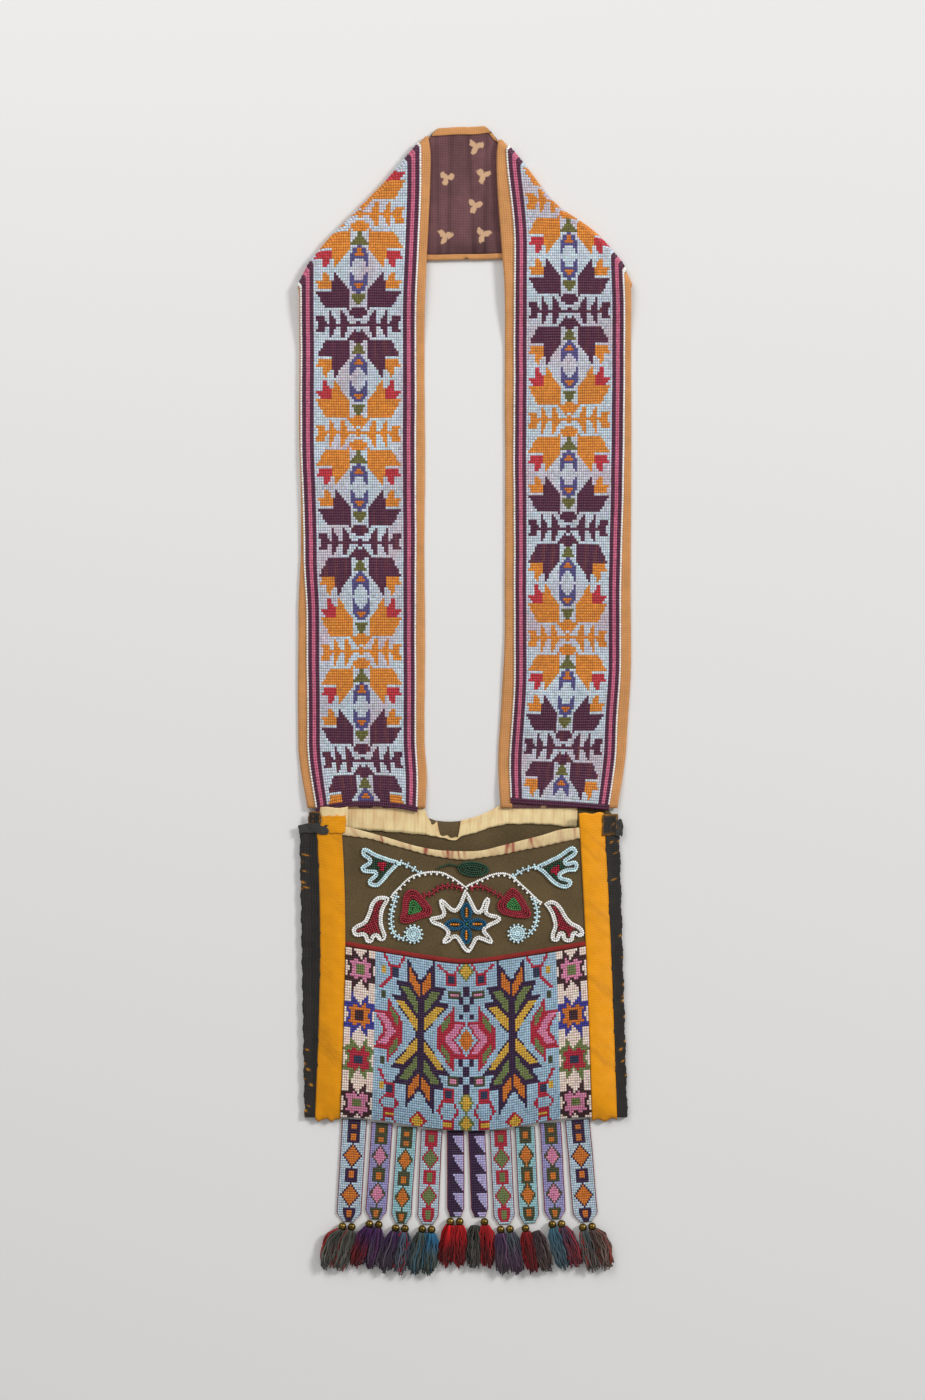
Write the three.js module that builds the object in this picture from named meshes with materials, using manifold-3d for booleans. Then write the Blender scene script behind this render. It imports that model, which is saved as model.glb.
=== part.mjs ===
// A beaded bandolier bag, laid flat with its front up: a folded shoulder strap, a pouch with a
// loom-woven panel and bead embroidery, ten beaded tabs and twenty yarn tassels.
// Millimetres, +Z up, +Y towards the top of the strap. The strap is sewn on at y = 0 while building.

import * as THREE from "three";
import { mergeVertices } from "three/addons/utils/BufferGeometryUtils.js";
import Module from "manifold-3d";

const wasm = await Module();
wasm.setup();

// Clearance that touching pieces keep
const CLEARANCE = 0.3;

// Shoulder strap
const STRAP_WIDTH = 110;
const STRAP_END_WIDTH = 97;
const STRAP_TAPER_LENGTH = 70;
const STRAP_DROP = 466;
const STRAP_LAP = 10;
const STRAP_RAMP_LENGTH = 60;
const STRAP_RAMP_END = 2;
const LOOP_GAP = 62;
const LOOP_GAP_AT_POUCH = 68;
const BINDING_WIDTH = 7.5;
const BINDING_THICKNESS = 0.6;
const LINING_THICKNESS = 0.7;
const STRAP_BEADWORK_THICKNESS = 1.8;
const FOLD_RADIUS = 0.4;
const FOLD_STEPS = 5;
const STRAP_COURSE_PITCH = 20.7;
const COURSE_GROOVE_WIDTH = 0.8;
const COURSE_GROOVE_DEPTH = 0.4;

// Pouch
const POUCH_HALF_WIDTH_TOP = 136;
const POUCH_HALF_WIDTH_BOTTOM = 137.5;
const POUCH_HEIGHT = 262.5;
const POUCH_LEAN = -6;
const POUCH_GAPE = 6.5;
const BOTTOM_SLOPE_LENGTH = 28;
const SIDE_SEAM_WIDTH = 8;
const BOTTOM_SAG = 11.5;
const BACK_THICKNESS = 1.6;
const FRONT_THICKNESS = 1.4;
const BACK_TOP_DIP = 9;
const BACK_TOP_CURVE = 10;
const BACK_CORNER_CURVE = 8;
const CORNER_DROP = 5;

// Ribbons and edgings down both sides of the front
const RIBBON_WIDTH = 21.5;
const RIBBON_THICKNESS = 0.7;
const EDGING_WIDTH_TOP = 13.5;
const EDGING_WIDTH_BOTTOM = 9.3;
const EDGING_THICKNESS = 0.8;
const RIBBON_TEAR_DROP = 20;
const RIBBON_TEAR_HEIGHT = 5;
const RIBBON_TEAR_WIDTH = 18;

// Mouth
const FACING_THICKNESS = 0.6;
const FACING_DROP = 16;
const FACING_SAG = 8.5;
const FACING_TOP_DROP = 1.5;
const FACING_TEAR_DEPTH = 6.5;
const FACING_TEAR_FROM = -0.36;
const FACING_TEAR_TO = -0.04;
const FACING_TEAR_SLANT = 0.05;
const FACING_SAG_AT = -0.12;
const FACING_SAG_HALF_WIDTH = 0.625;
const LIP_DROP = 18.5;
const LIP_SAG = 17.5;
const LIP_WIDTH = 7;
const LIP_THICKNESS = 0.7;

// Loom-woven panel and the tape over its seam
const TAPE_DROP = 113.5;
const TAPE_SAG = 13;
const TAPE_WIDTH = 4.3;
const TAPE_THICKNESS = 1.1;
const PANEL_THICKNESS = 1.8;
const PANEL_COURSES = 10;
const PANEL_GROOVE_DEPTH = 0.4;

// Bead embroidery on the wool: one string of beads and the fill inside an outline
const STRING_WIDTH = 2.4;
const STRING_HEIGHT = 1.6;
const FILL_HEIGHT = 1.1;
const MITRE_LIMIT = 0.35;
const MOTIF_FIELD_HALF_WIDTH = 101;

// Tabs, from the outer pair to the middle pair
const TAB_WIDTHS = [21.5, 18.5, 17.5, 18.5, 15];
const TAB_LENGTHS = [87, 82, 82, 80, 73];
const TAB_GAP = 3.2;
const TAB_THICKNESS = 2;
const TAB_GROOVE_DEPTH = 0.4;
const TAB_COURSES = 4;
const TAB_POINT_LENGTH = 8;
const TAB_TIP_WIDTH = 10;
const TAB_LEAN_DEGREES = 3.2;

// Tassels and the brass beads that they hang through
const BRASS_BEAD_DIAMETER = 7;
const TASSEL_LENGTH = 37;
const TASSEL_WIDTH = 11.6;
const TASSEL_HEIGHT = 9;
const TASSEL_SPREAD = 12.9;
const TASSEL_SIDES = 8;
const TASSEL_FLUTE = 0.86;

const { clamp, lerp, smoothstep, degToRad } = THREE.MathUtils;
const range = (count) => Array.from({ length: count }, (_, i) => i);
const shares = (count) => range(count + 1).map((i) => i / count);

// A cloth edge that hangs lowest in the middle of the field: 1 at the middle and 0 at the ribbons
const hang = (u) => (Math.abs(u) < 1 ? Math.cos((Math.PI / 2) * u) ** 2 : 0);

// Closed meshes

function closedGeometry(position, index) {
  const geometry = new THREE.BufferGeometry();
  geometry.setAttribute("position", new THREE.Float32BufferAttribute(position, 3));
  geometry.setIndex(signedVolume(position, index) < 0 ? index.toReversed() : index);
  return geometry;
}

function signedVolume(position, index) {
  const corner = (k) => new THREE.Vector3().fromArray(position, 3 * index[k]);
  let sum = 0;
  for (let k = 0; k < index.length; k += 3) {
    sum += corner(k).dot(corner(k + 1).cross(corner(k + 2))) / 6;
  }
  return sum;
}

// A sheet over a grid of columns and rows, where point(u, v, column, row) gives x, y, low and high
function sheetGeometry(us, vs, point) {
  const position = [];
  vs.forEach((v, j) => {
    us.forEach((u, i) => {
      const { x, y, low, high } = point(u, v, i, j);
      position.push(x, y, low, x, y, high);
    });
  });
  const at = (i, j, top) => 2 * (j * us.length + i) + top;
  const index = [];
  const quad = (a, b, c, d) => index.push(a, b, c, a, c, d);
  const lastColumn = us.length - 1;
  const lastRow = vs.length - 1;
  for (const j of range(lastRow)) {
    for (const i of range(lastColumn)) {
      quad(at(i, j, 1), at(i + 1, j, 1), at(i + 1, j + 1, 1), at(i, j + 1, 1));
      quad(at(i, j, 0), at(i, j + 1, 0), at(i + 1, j + 1, 0), at(i + 1, j, 0));
    }
    quad(at(0, j + 1, 0), at(0, j, 0), at(0, j, 1), at(0, j + 1, 1));
    quad(at(lastColumn, j, 0), at(lastColumn, j + 1, 0), at(lastColumn, j + 1, 1), at(lastColumn, j, 1));
  }
  for (const i of range(lastColumn)) {
    quad(at(i, 0, 0), at(i + 1, 0, 0), at(i + 1, 0, 1), at(i, 0, 1));
    quad(at(i + 1, lastRow, 0), at(i, lastRow, 0), at(i, lastRow, 1), at(i + 1, lastRow, 1));
  }
  return closedGeometry(position, index);
}

// A loft through sections of equal point counts; capOutline is the section's flat outline, and a
// loft without one closes on itself
function loftGeometry(sections, capOutline) {
  const count = sections[0].length;
  const position = sections.flat().flatMap((p) => p.toArray());
  const index = [];
  const steps = capOutline ? sections.length - 1 : sections.length;
  for (const j of range(steps)) {
    const here = j * count;
    const next = ((j + 1) % sections.length) * count;
    for (const i of range(count)) {
      const k = (i + 1) % count;
      index.push(here + i, next + i, next + k, here + i, next + k, here + k);
    }
  }
  if (capOutline) {
    const last = (sections.length - 1) * count;
    for (const [a, b, c] of THREE.ShapeUtils.triangulateShape(capOutline, [])) {
      index.push(a, b, c, last + a, last + c, last + b);
    }
    const turn = THREE.ShapeUtils.area(capOutline) > 0;
    if (!turn) flipCaps(index, count * 6 * steps);
  }
  return closedGeometry(position, index);
}

function flipCaps(index, start) {
  for (let k = start; k < index.length; k += 3) {
    [index[k], index[k + 1]] = [index[k + 1], index[k]];
  }
}

// Joining and cutting

function solidOf(geometry) {
  const bare = geometry.clone();
  bare.deleteAttribute("normal");
  bare.deleteAttribute("uv");
  const merged = mergeVertices(bare, 1e-5);
  const vertProperties = new Float32Array(merged.getAttribute("position").array);
  const triVerts = new Uint32Array(merged.index.array);
  return new wasm.Manifold(new wasm.Mesh({ numProp: 3, vertProperties, triVerts }));
}

function geometryOf(solid) {
  const { vertProperties, triVerts } = solid.getMesh();
  const geometry = new THREE.BufferGeometry();
  geometry.setAttribute("position", new THREE.BufferAttribute(vertProperties, 3));
  geometry.setIndex(new THREE.BufferAttribute(triVerts, 1));
  return geometry;
}

function joined(...geometries) {
  return geometryOf(geometries.map(solidOf).reduce((whole, next) => whole.add(next)));
}

function cut(geometry, tools) {
  return geometryOf(tools.map(solidOf).reduce((whole, next) => whole.subtract(next), solidOf(geometry)));
}

// The finished bag and its pieces

const bag = new THREE.Group();

function addPiece(name, geometry, color, roughness = 0.85, metalness = 0) {
  const material = new THREE.MeshStandardMaterial({ color, roughness, metalness });
  const mesh = new THREE.Mesh(geometry, material);
  mesh.name = name;
  bag.add(mesh);
  return mesh;
}

// Shoulder strap: one long band, folded at 45 degrees at both top corners, so that its lining lies
// inside the folds and shows on the cross run. A section is written as [s, r]: s across the band,
// growing towards the loop, and r outwards from the axis of the fold.

const liningInner = FOLD_RADIUS + BINDING_THICKNESS + CLEARANCE;
const beadworkInner = liningInner + LINING_THICKNESS + CLEARANCE;
const beadworkOuter = beadworkInner + STRAP_BEADWORK_THICKNESS;
const foldAxisHeight = beadworkOuter;
const foldedRunHeight = foldAxisHeight + FOLD_RADIUS;
const seatHeight = BACK_THICKNESS + CLEARANCE;

function runHeight(y) {
  const onPouch = 1 - smoothstep(y, STRAP_LAP + CLEARANCE, STRAP_LAP + STRAP_RAMP_LENGTH / 2);
  const onCrossRun = smoothstep(y, STRAP_DROP - STRAP_RAMP_LENGTH, STRAP_DROP - STRAP_RAMP_END);
  return seatHeight * onPouch + foldedRunHeight * onCrossRun;
}

function runPoint(s, r, y) {
  const full = smoothstep(y, 0, STRAP_TAPER_LENGTH);
  const width = lerp(STRAP_END_WIDTH, STRAP_WIDTH, full);
  const middle = lerp(LOOP_GAP_AT_POUCH, LOOP_GAP, full) / 2 + width / 2;
  return new THREE.Vector3((s * width) / STRAP_WIDTH - middle, y, runHeight(y) + r - FOLD_RADIUS);
}

function foldPoint(s, r, angle) {
  const reach = r * Math.sin(angle) * Math.SQRT1_2;
  const x = s - (LOOP_GAP + STRAP_WIDTH) / 2 - reach;
  const y = s + STRAP_DROP + STRAP_WIDTH / 2 + reach;
  return new THREE.Vector3(x, y, foldAxisHeight + r * Math.cos(angle));
}

function crossPoint(s, r, x) {
  return new THREE.Vector3(x, s + STRAP_DROP + STRAP_WIDTH / 2, foldAxisHeight - r);
}

function runStations() {
  const taper = shares(3).map((f) => f * STRAP_TAPER_LENGTH);
  const overPouch = [STRAP_LAP + CLEARANCE, STRAP_LAP + STRAP_RAMP_LENGTH / 4];
  const ramp = STRAP_RAMP_LENGTH - STRAP_RAMP_END;
  const overCrossRun = shares(3).map((f) => STRAP_DROP - STRAP_RAMP_LENGTH + f * ramp);
  return [...taper, ...overPouch, ...overCrossRun].sort((a, b) => a - b);
}

function strapBand(section) {
  const left = runStations().map((y) => section.map(([s, r]) => runPoint(s, r, y)));
  for (const share of shares(FOLD_STEPS)) {
    left.push(section.map(([s, r]) => foldPoint(s, r, share * Math.PI)));
  }
  const crossEnd = LOOP_GAP / 2 - 2 * CLEARANCE;
  left.push(section.map(([s, r]) => crossPoint(s, r, -crossEnd)));
  const right = left.toReversed().map((loop) => loop.map(({ x, y, z }) => new THREE.Vector3(-x, y, z)));
  return loftGeometry([...left, ...right], section.map(([s, r]) => new THREE.Vector2(s, r)));
}

const bandSection = (half, low, high) => [[-half, low], [half, low], [half, high], [-half, high]];

// A binding is a tape folded round the strap's edge; side is 1 at the loop and -1 at the outside
function bindingSection(side) {
  const edge = STRAP_WIDTH / 2;
  const inner = edge - BINDING_WIDTH;
  const web = edge - BINDING_THICKNESS;
  const low = FOLD_RADIUS;
  const high = beadworkInner + BINDING_THICKNESS;
  const outline = [
    [inner, low], [edge, low], [edge, high], [inner, high],
    [inner, beadworkInner], [web, beadworkInner],
    [web, low + BINDING_THICKNESS], [inner, low + BINDING_THICKNESS],
  ];
  return outline.map(([s, r]) => [side * s, r]);
}

// Shallow grooves between the courses of beads, across both runs
function courseGrooves() {
  const count = Math.floor((STRAP_DROP + STRAP_WIDTH) / STRAP_COURSE_PITCH);
  const wide = STRAP_WIDTH + 2 * COURSE_GROOVE_WIDTH;
  const middle = (LOOP_GAP + STRAP_WIDTH) / 2;
  const deep = 2 * COURSE_GROOVE_DEPTH;
  const groove = (side, y) => {
    const box = new THREE.BoxGeometry(wide, COURSE_GROOVE_WIDTH, deep);
    return box.translate(side * middle, y, runHeight(y) + beadworkOuter - FOLD_RADIUS);
  };
  const heights = range(count - 1).map((i) => (i + 1) * STRAP_COURSE_PITCH);
  return heights.flatMap((y) => [groove(-1, y), groove(1, y)]);
}

function buildStrap() {
  const liningHalf = STRAP_WIDTH / 2 - BINDING_THICKNESS - CLEARANCE;
  const beadworkHalf = STRAP_WIDTH / 2 - BINDING_WIDTH - CLEARANCE;
  const beadwork = strapBand(bandSection(beadworkHalf, beadworkInner, beadworkOuter));
  const lining = bandSection(liningHalf, liningInner, liningInner + LINING_THICKNESS);
  addPiece("strap_beadwork", cut(beadwork, courseGrooves()), "#a9c3d6", 0.4);
  addPiece("strap_lining", strapBand(lining), "#56364a", 0.9);
  addPiece("strap_inner_binding", strapBand(bindingSection(1)), "#c98f52");
  addPiece("strap_outer_binding", strapBand(bindingSection(-1)), "#c98f52");
}

// Pouch: u runs across it, from 0 on its middle line to 1 at the ribbons, 2 at the edgings and 3 at
// its sides; the front stands clear of the back between its seams.

const downPouch = (y) => clamp(-y / POUCH_HEIGHT, 0, 1);
const leanAt = (y) => POUCH_LEAN * (1 - downPouch(y));
const sideAt = (y) => lerp(POUCH_HALF_WIDTH_TOP, POUCH_HALF_WIDTH_BOTTOM, downPouch(y));
const edgingAt = (y) => sideAt(y) - lerp(EDGING_WIDTH_TOP, EDGING_WIDTH_BOTTOM, downPouch(y));
const fieldAt = (y) => edgingAt(y) - RIBBON_WIDTH;
const bottomAt = (u) => -POUCH_HEIGHT - BOTTOM_SAG * hang(u);
const lipAt = (u) => -LIP_DROP - LIP_SAG * hang(u);
const tapeAt = (u) => -TAPE_DROP - TAPE_SAG * hang(u);

function acrossPouch(u, y) {
  const stops = [0, fieldAt(y), edgingAt(y), sideAt(y)];
  const zone = Math.min(Math.floor(Math.abs(u)), 2);
  return Math.sign(u) * lerp(stops[zone], stops[zone + 1], Math.abs(u) - zone);
}

// How far the front's underside stands off its seams, from 0 at a seam to 1
function gapeAt(u, y) {
  const seam = sideAt(y) - SIDE_SEAM_WIDTH;
  const toSeam = clamp((Math.abs(acrossPouch(u, y)) - fieldAt(y)) / (seam - fieldAt(y)), 0, 1);
  const fromBottom = clamp((y - bottomAt(u)) / BOTTOM_SLOPE_LENGTH, 0, 1);
  return Math.cos((Math.PI / 2) * toSeam) * Math.sin((Math.PI / 2) * fromBottom);
}

const frontUnderside = (u, y) => seatHeight + POUCH_GAPE * gapeAt(u, y);
const frontSkin = FRONT_THICKNESS + CLEARANCE;
const plateauHeight = seatHeight + POUCH_GAPE + frontSkin;

// A cloth on the pouch between two u and two edges; thickness may change with the row
function pouchSheet({ us, vs, lower, upper, base, thickness, trim = 0 }) {
  return sheetGeometry(us, vs, (u, v, i, j) => {
    const y = lerp(lower(u), upper(u), v);
    const isEnd = i === 0 ? 1 : i === us.length - 1 ? -1 : 0;
    const low = base(u, y);
    const high = low + (typeof thickness === "function" ? thickness(j) : thickness);
    return { x: acrossPouch(u, y) + isEnd * trim + leanAt(y), y, low, high };
  });
}

const onFront = (u, y) => frontUnderside(u, y) + frontSkin;
const fieldColumns = shares(10).map((f) => 2 * f - 1);
const slopeRows = [0, 0.03, 0.06, 0.09, 0.12, 0.6, 1];
const edgingWeb = EDGING_THICKNESS + CLEARANCE;

// The back's top edge: under the straps it laps them, and between them it dips
function backTopAt(u) {
  const x = Math.abs(acrossPouch(u, 0));
  const loopEdge = LOOP_GAP_AT_POUCH / 2;
  const strapOutside = loopEdge + STRAP_END_WIDTH;
  const cornerFrom = strapOutside - BACK_CORNER_CURVE;
  const pastLoop = smoothstep(x, loopEdge - BACK_TOP_CURVE, loopEdge);
  const pastStrap = smoothstep(x, cornerFrom, strapOutside);
  const beside = x > cornerFrom ? -CORNER_DROP : -BACK_TOP_DIP;
  return lerp(beside, STRAP_LAP, pastLoop * (1 - pastStrap));
}

function buildBack() {
  const sideColumns = [-3, -2.75, -2.5, -2.25, -2, -1.5];
  const us = [...sideColumns, ...fieldColumns, ...sideColumns.toReversed().map((u) => -u)];
  const flat = { us, vs: shares(1), lower: bottomAt, upper: backTopAt, trim: edgingWeb };
  addPiece("back_panel", pouchSheet({ ...flat, base: () => 0, thickness: BACK_THICKNESS }), "#4b3d27", 1);

  // Cream silk faces the inside of the back below the strap; it is torn away left of the middle
  const tearColumns = [
    FACING_TEAR_FROM, FACING_TEAR_FROM + FACING_TEAR_SLANT,
    FACING_TEAR_TO - FACING_TEAR_SLANT, FACING_TEAR_TO,
  ];
  const facingColumns = [...fieldColumns, ...tearColumns].sort((a, b) => a - b);
  const upper = (u) => {
    const torn = u > FACING_TEAR_FROM && u < FACING_TEAR_TO ? FACING_TEAR_DEPTH : 0;
    return Math.min(-FACING_TOP_DROP, backTopAt(u) - CLEARANCE) - torn;
  };
  const lower = (u) => -FACING_DROP - FACING_SAG * hang((u - FACING_SAG_AT) / FACING_SAG_HALF_WIDTH);
  const facing = { us: facingColumns, vs: shares(1), lower, upper, trim: CLEARANCE };
  const sheet = pouchSheet({ ...facing, base: () => seatHeight, thickness: FACING_THICKNESS });
  addPiece("mouth_facing", sheet, "#e3cd9b");
}

function buildFront() {
  const slopeColumns = [-3, -2.6, -2.3, -2, -1.66, -1.33, -1.04];
  const us = [...slopeColumns, ...fieldColumns, ...slopeColumns.toReversed().map((u) => -u)];
  const cornerAt = (u) => (Math.abs(u) > 1 ? -CORNER_DROP : lipAt(u));
  const front = { us, vs: slopeRows, lower: bottomAt, upper: cornerAt, trim: edgingWeb };
  const wool = pouchSheet({ ...front, base: frontUnderside, thickness: FRONT_THICKNESS });
  addPiece("front_panel", wool, "#4f4229", 1);

  const trim = CLEARANCE / 2;
  const lip = { us: fieldColumns, vs: shares(2), lower: (u) => lipAt(u) - LIP_WIDTH, upper: lipAt, trim };
  addPiece("lip_binding", pouchSheet({ ...lip, base: onFront, thickness: LIP_THICKNESS }), "#dfc48d");

  const tapeBottomAt = (u) => tapeAt(u) - TAPE_WIDTH;
  const tape = { us: fieldColumns, vs: shares(1), lower: tapeBottomAt, upper: tapeAt, trim };
  addPiece("red_tape", pouchSheet({ ...tape, base: onFront, thickness: TAPE_THICKNESS }), "#9c2f30");

  // Each course of the panel is a raised band, with a groove on either side
  const courses = shares(2 * PANEL_COURSES);
  const courseThickness = (j) => PANEL_THICKNESS - (j % 2 ? 0 : PANEL_GROOVE_DEPTH);
  const panelTopAt = (u) => tapeBottomAt(u) - CLEARANCE;
  const panel = { us: fieldColumns, vs: courses, lower: bottomAt, upper: panelTopAt, trim };
  addPiece("loom_panel", pouchSheet({ ...panel, base: onFront, thickness: courseThickness }), "#86b4cf", 0.4);
}

function buildSides() {
  const upper = () => -CORNER_DROP;
  for (const [side, name] of [[-1, "left"], [1, "right"]]) {
    const order = (us) => us.map((u) => side * u).sort((a, b) => a - b);
    const us = order([1, 1.33, 1.66, 2]);
    const ribbon = { us, vs: slopeRows, lower: bottomAt, upper, trim: CLEARANCE / 2 };
    const sheet = pouchSheet({ ...ribbon, base: onFront, thickness: RIBBON_THICKNESS });
    addPiece(`${name}_ribbon`, side < 0 ? cut(sheet, [ribbonTear()]) : sheet, "#e8a000", 0.5);
    addPiece(`${name}_edging`, edgingGeometry(side), "#2b2b30", 0.8);
  }
}

// A strip that lies on the front and turns down over the side of the pouch
function edgingGeometry(side) {
  const columns = [[2, 0], [2.3, 0], [2.6, 0], [3, -EDGING_THICKNESS], [3, -EDGING_THICKNESS], [3, 0]];
  const webFrom = 4;
  const hairline = 0.02;
  const ordered = side < 0 ? columns.toReversed() : columns;
  return sheetGeometry(ordered.map(([u]) => side * u), slopeRows, (u, v, i) => {
    const column = side < 0 ? columns.length - 1 - i : i;
    const y = lerp(bottomAt(u), -CORNER_DROP, v);
    const gap = column === 0 ? CLEARANCE / 2 : 0;
    const turn = columns[column][1] + gap + (column === webFrom ? hairline : 0);
    const x = acrossPouch(u, y) + side * turn + leanAt(y);
    const low = onFront(u, y);
    return { x, y, low: column < webFrom ? low : 0, high: low + EDGING_THICKNESS };
  });
}

// The left ribbon is torn across near its top, from its outer edge
function ribbonTear() {
  const y = -RIBBON_TEAR_DROP;
  const from = acrossPouch(-2, y) + leanAt(y) - 1;
  const to = from + 1 + RIBBON_TEAR_WIDTH;
  const wedge = new THREE.Shape();
  wedge.moveTo(from, y - RIBBON_TEAR_HEIGHT / 2);
  wedge.lineTo(to, y - RIBBON_TEAR_HEIGHT / 4);
  wedge.lineTo(from, y + RIBBON_TEAR_HEIGHT / 2);
  return new THREE.ExtrudeGeometry(wedge, { depth: 2 * plateauHeight, bevelEnabled: false });
}

// Bead embroidery: strings of beads couched on the wool, drawn on the left side and mirrored

const motifScale = fieldAt(0) / MOTIF_FIELD_HALF_WIDTH;

function smoothPath(points, closed, steps) {
  const knots = points.map(([x, y]) => new THREE.Vector3(x * motifScale, y, 0));
  const path = new THREE.CatmullRomCurve3(knots, closed, "centripetal").getSpacedPoints(steps);
  return closed ? path.slice(0, -1) : path;
}

// A string of beads along a flat path, with mitred corners
function beadString(path, closed) {
  const last = path.length - 1;
  const section = [[-0.5, 0], [0.5, 0], [0.28, 1], [-0.28, 1]];
  const sections = path.map((p, i) => {
    const before = path[i > 0 ? i - 1 : closed ? last : 0];
    const after = path[i < last ? i + 1 : closed ? 0 : last];
    const incoming = p.clone().sub(before).normalize();
    const outgoing = after.clone().sub(p).normalize();
    const along = incoming.clone().add(outgoing).normalize();
    const straight = incoming.length() === 0 ? outgoing : incoming;
    const mitre = 1 / Math.max(along.dot(straight), MITRE_LIMIT);
    return section.map(([s, z]) => new THREE.Vector3(
      p.x - along.y * s * STRING_WIDTH * mitre,
      p.y + along.x * s * STRING_WIDTH * mitre,
      plateauHeight + z * STRING_HEIGHT,
    ));
  });
  return loftGeometry(sections, closed ? null : section.map(([s, z]) => new THREE.Vector2(s, z)));
}

function beadFill(path) {
  const shape = new THREE.Shape(path.map(({ x, y }) => new THREE.Vector2(x, y)));
  const fill = new THREE.ExtrudeGeometry(shape, { depth: FILL_HEIGHT, bevelEnabled: false });
  return fill.translate(0, 0, plateauHeight);
}

function filledOutline(points, steps) {
  const path = smoothPath(points, true, steps);
  return joined(beadFill(path), beadString(path, true));
}

function ellipsePath(x, y, halfLength, halfWidth, turn, steps) {
  const curve = new THREE.EllipseCurve(0, 0, halfLength, halfWidth, 0, 2 * Math.PI, false, 0);
  const points = curve.getPoints(steps).slice(0, -1);
  return points.map((p) => {
    p.rotateAround(new THREE.Vector2(), turn);
    return new THREE.Vector3((p.x + x) * motifScale, p.y + y, 0);
  });
}

const STAR = { y: -97.3, tipRadius: 25.5, notchRadius: 13.5, points: 8 };
const PETAL = { reach: 8.5, halfLength: 5.2, halfWidth: 3.6, hub: 4.6 };
const LEAF = { x: 6.5, y: -50.5, halfLength: 10.5, halfWidth: 5.4, turn: 0.12 };
const ROSETTE = { x: -44.2, y: -108, radius: 6 };
const MIRROR_OFFSET = { flower: [4, -2], tulip: [1.5, 0], heart_bud: [0, 1], rosette: [0, 1] };

const FLOWER_OUTLINE = [
  [-57, -45], [-74, -37], [-85, -33.5], [-89.5, -37], [-87.5, -42], [-80, -44.5], [-88.5, -47],
  [-90, -51.5], [-85.5, -54.5], [-77, -55.5], [-83, -59.5], [-83.5, -65], [-76.5, -66.5], [-66, -55.5],
];
const FLOWER_STEM = [[-58, -45.5], [-51, -48.5], [-44.5, -52.5]];
const TULIP_OUTLINE = [
  [-65, -78.5], [-72, -75], [-79.5, -81], [-84.5, -91], [-92, -98], [-96, -102.5], [-93, -107.5],
  [-87, -104], [-85, -110], [-80.5, -111], [-78, -104.5], [-74.5, -110], [-69, -108.5], [-68.5, -101],
  [-70.5, -92], [-69, -84],
];
const HEART_OUTLINE = [
  [-46, -70], [-38, -74], [-31.5, -83], [-33.5, -89], [-44, -91], [-54, -95.5], [-53, -86], [-52, -75],
];
const HEART_STEM = [[-38, -74.5], [-24, -67.5], [-12.5, -66], [-6, -67]];
const TENDRIL = [[-57, -79.5], [-62.5, -88], [-64, -96], [-61.5, -104.5], [-55.5, -110.5], [-48, -110.5]];
const VINE_HALF = [[-64.5, -72.5], [-60, -68], [-52, -61], [-40, -56], [-26.4, -55], [-12, -59.5]];
const VINE_CROWN = [0, -64.5];
const LEAF_STEM = [[-1, -50.8], [-10, -48.6], [-19, -49.5]];

function buildEmbroidery() {
  const starPath = range(2 * STAR.points).map((i) => {
    const angle = Math.PI / 2 + (i * Math.PI) / STAR.points;
    const radius = i % 2 ? STAR.notchRadius : STAR.tipRadius;
    return new THREE.Vector3(radius * Math.cos(angle) * motifScale, STAR.y + radius * Math.sin(angle), 0);
  });
  addPiece("star_border", beadString(starPath, true), "#e9e0d2", 0.35);

  const petals = range(4).map((i) => {
    const angle = (i * Math.PI) / 2;
    const x = PETAL.reach * Math.cos(angle);
    const y = STAR.y + PETAL.reach * Math.sin(angle);
    return beadFill(ellipsePath(x, y, PETAL.halfLength, PETAL.halfWidth, angle, 12));
  });
  const hub = beadFill(ellipsePath(0, STAR.y, PETAL.hub, PETAL.hub, 0, 12));
  addPiece("star_petals", joined(hub, ...petals), "#2f5d78", 0.35);

  const leafPath = ellipsePath(LEAF.x, LEAF.y, LEAF.halfLength, LEAF.halfWidth, LEAF.turn, 16);
  const leafStem = beadString(smoothPath(LEAF_STEM, false, 6), false);
  addPiece("green_leaf", joined(beadFill(leafPath), beadString(leafPath, true), leafStem), "#35502f", 0.35);

  const vine = [...VINE_HALF, VINE_CROWN, ...VINE_HALF.toReversed().map(([x, y]) => [-x, y])];
  addPiece("white_vine", beadString(smoothPath(vine, false, 26), false), "#e9e0d2", 0.35);

  const flowerStem = beadString(smoothPath(FLOWER_STEM, false, 4), false);
  const heartStem = beadString(smoothPath(HEART_STEM, false, 7), false);
  const tendril = beadString(smoothPath(TENDRIL, false, 9), false);
  const rosettePath = ellipsePath(ROSETTE.x, ROSETTE.y, ROSETTE.radius, ROSETTE.radius, 0, 14);
  const rosette = joined(beadFill(rosettePath), beadString(rosettePath, true), tendril);
  addPair("flower", joined(filledOutline(FLOWER_OUTLINE, 28), flowerStem), "#9cc6dc");
  addPair("tulip", filledOutline(TULIP_OUTLINE, 32), "#7a1f2b");
  addPair("heart_bud", joined(filledOutline(HEART_OUTLINE, 18), heartStem), "#b32a3c");
  addPair("rosette", rosette, "#9cc6dc");
}

function addPair(name, geometry, color) {
  const [dx, dy] = MIRROR_OFFSET[name];
  const mirrored = geometry.clone().scale(-1, 1, 1).translate(dx, dy, 0);
  mirrored.setIndex(Array.from(geometry.index.array).toReversed());
  addPiece(`left_${name}`, geometry, color, 0.35);
  addPiece(`right_${name}`, mirrored, color, 0.35);
}

// Tabs hang from the pouch's bottom edge, spreading a little, each with two tassels

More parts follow.
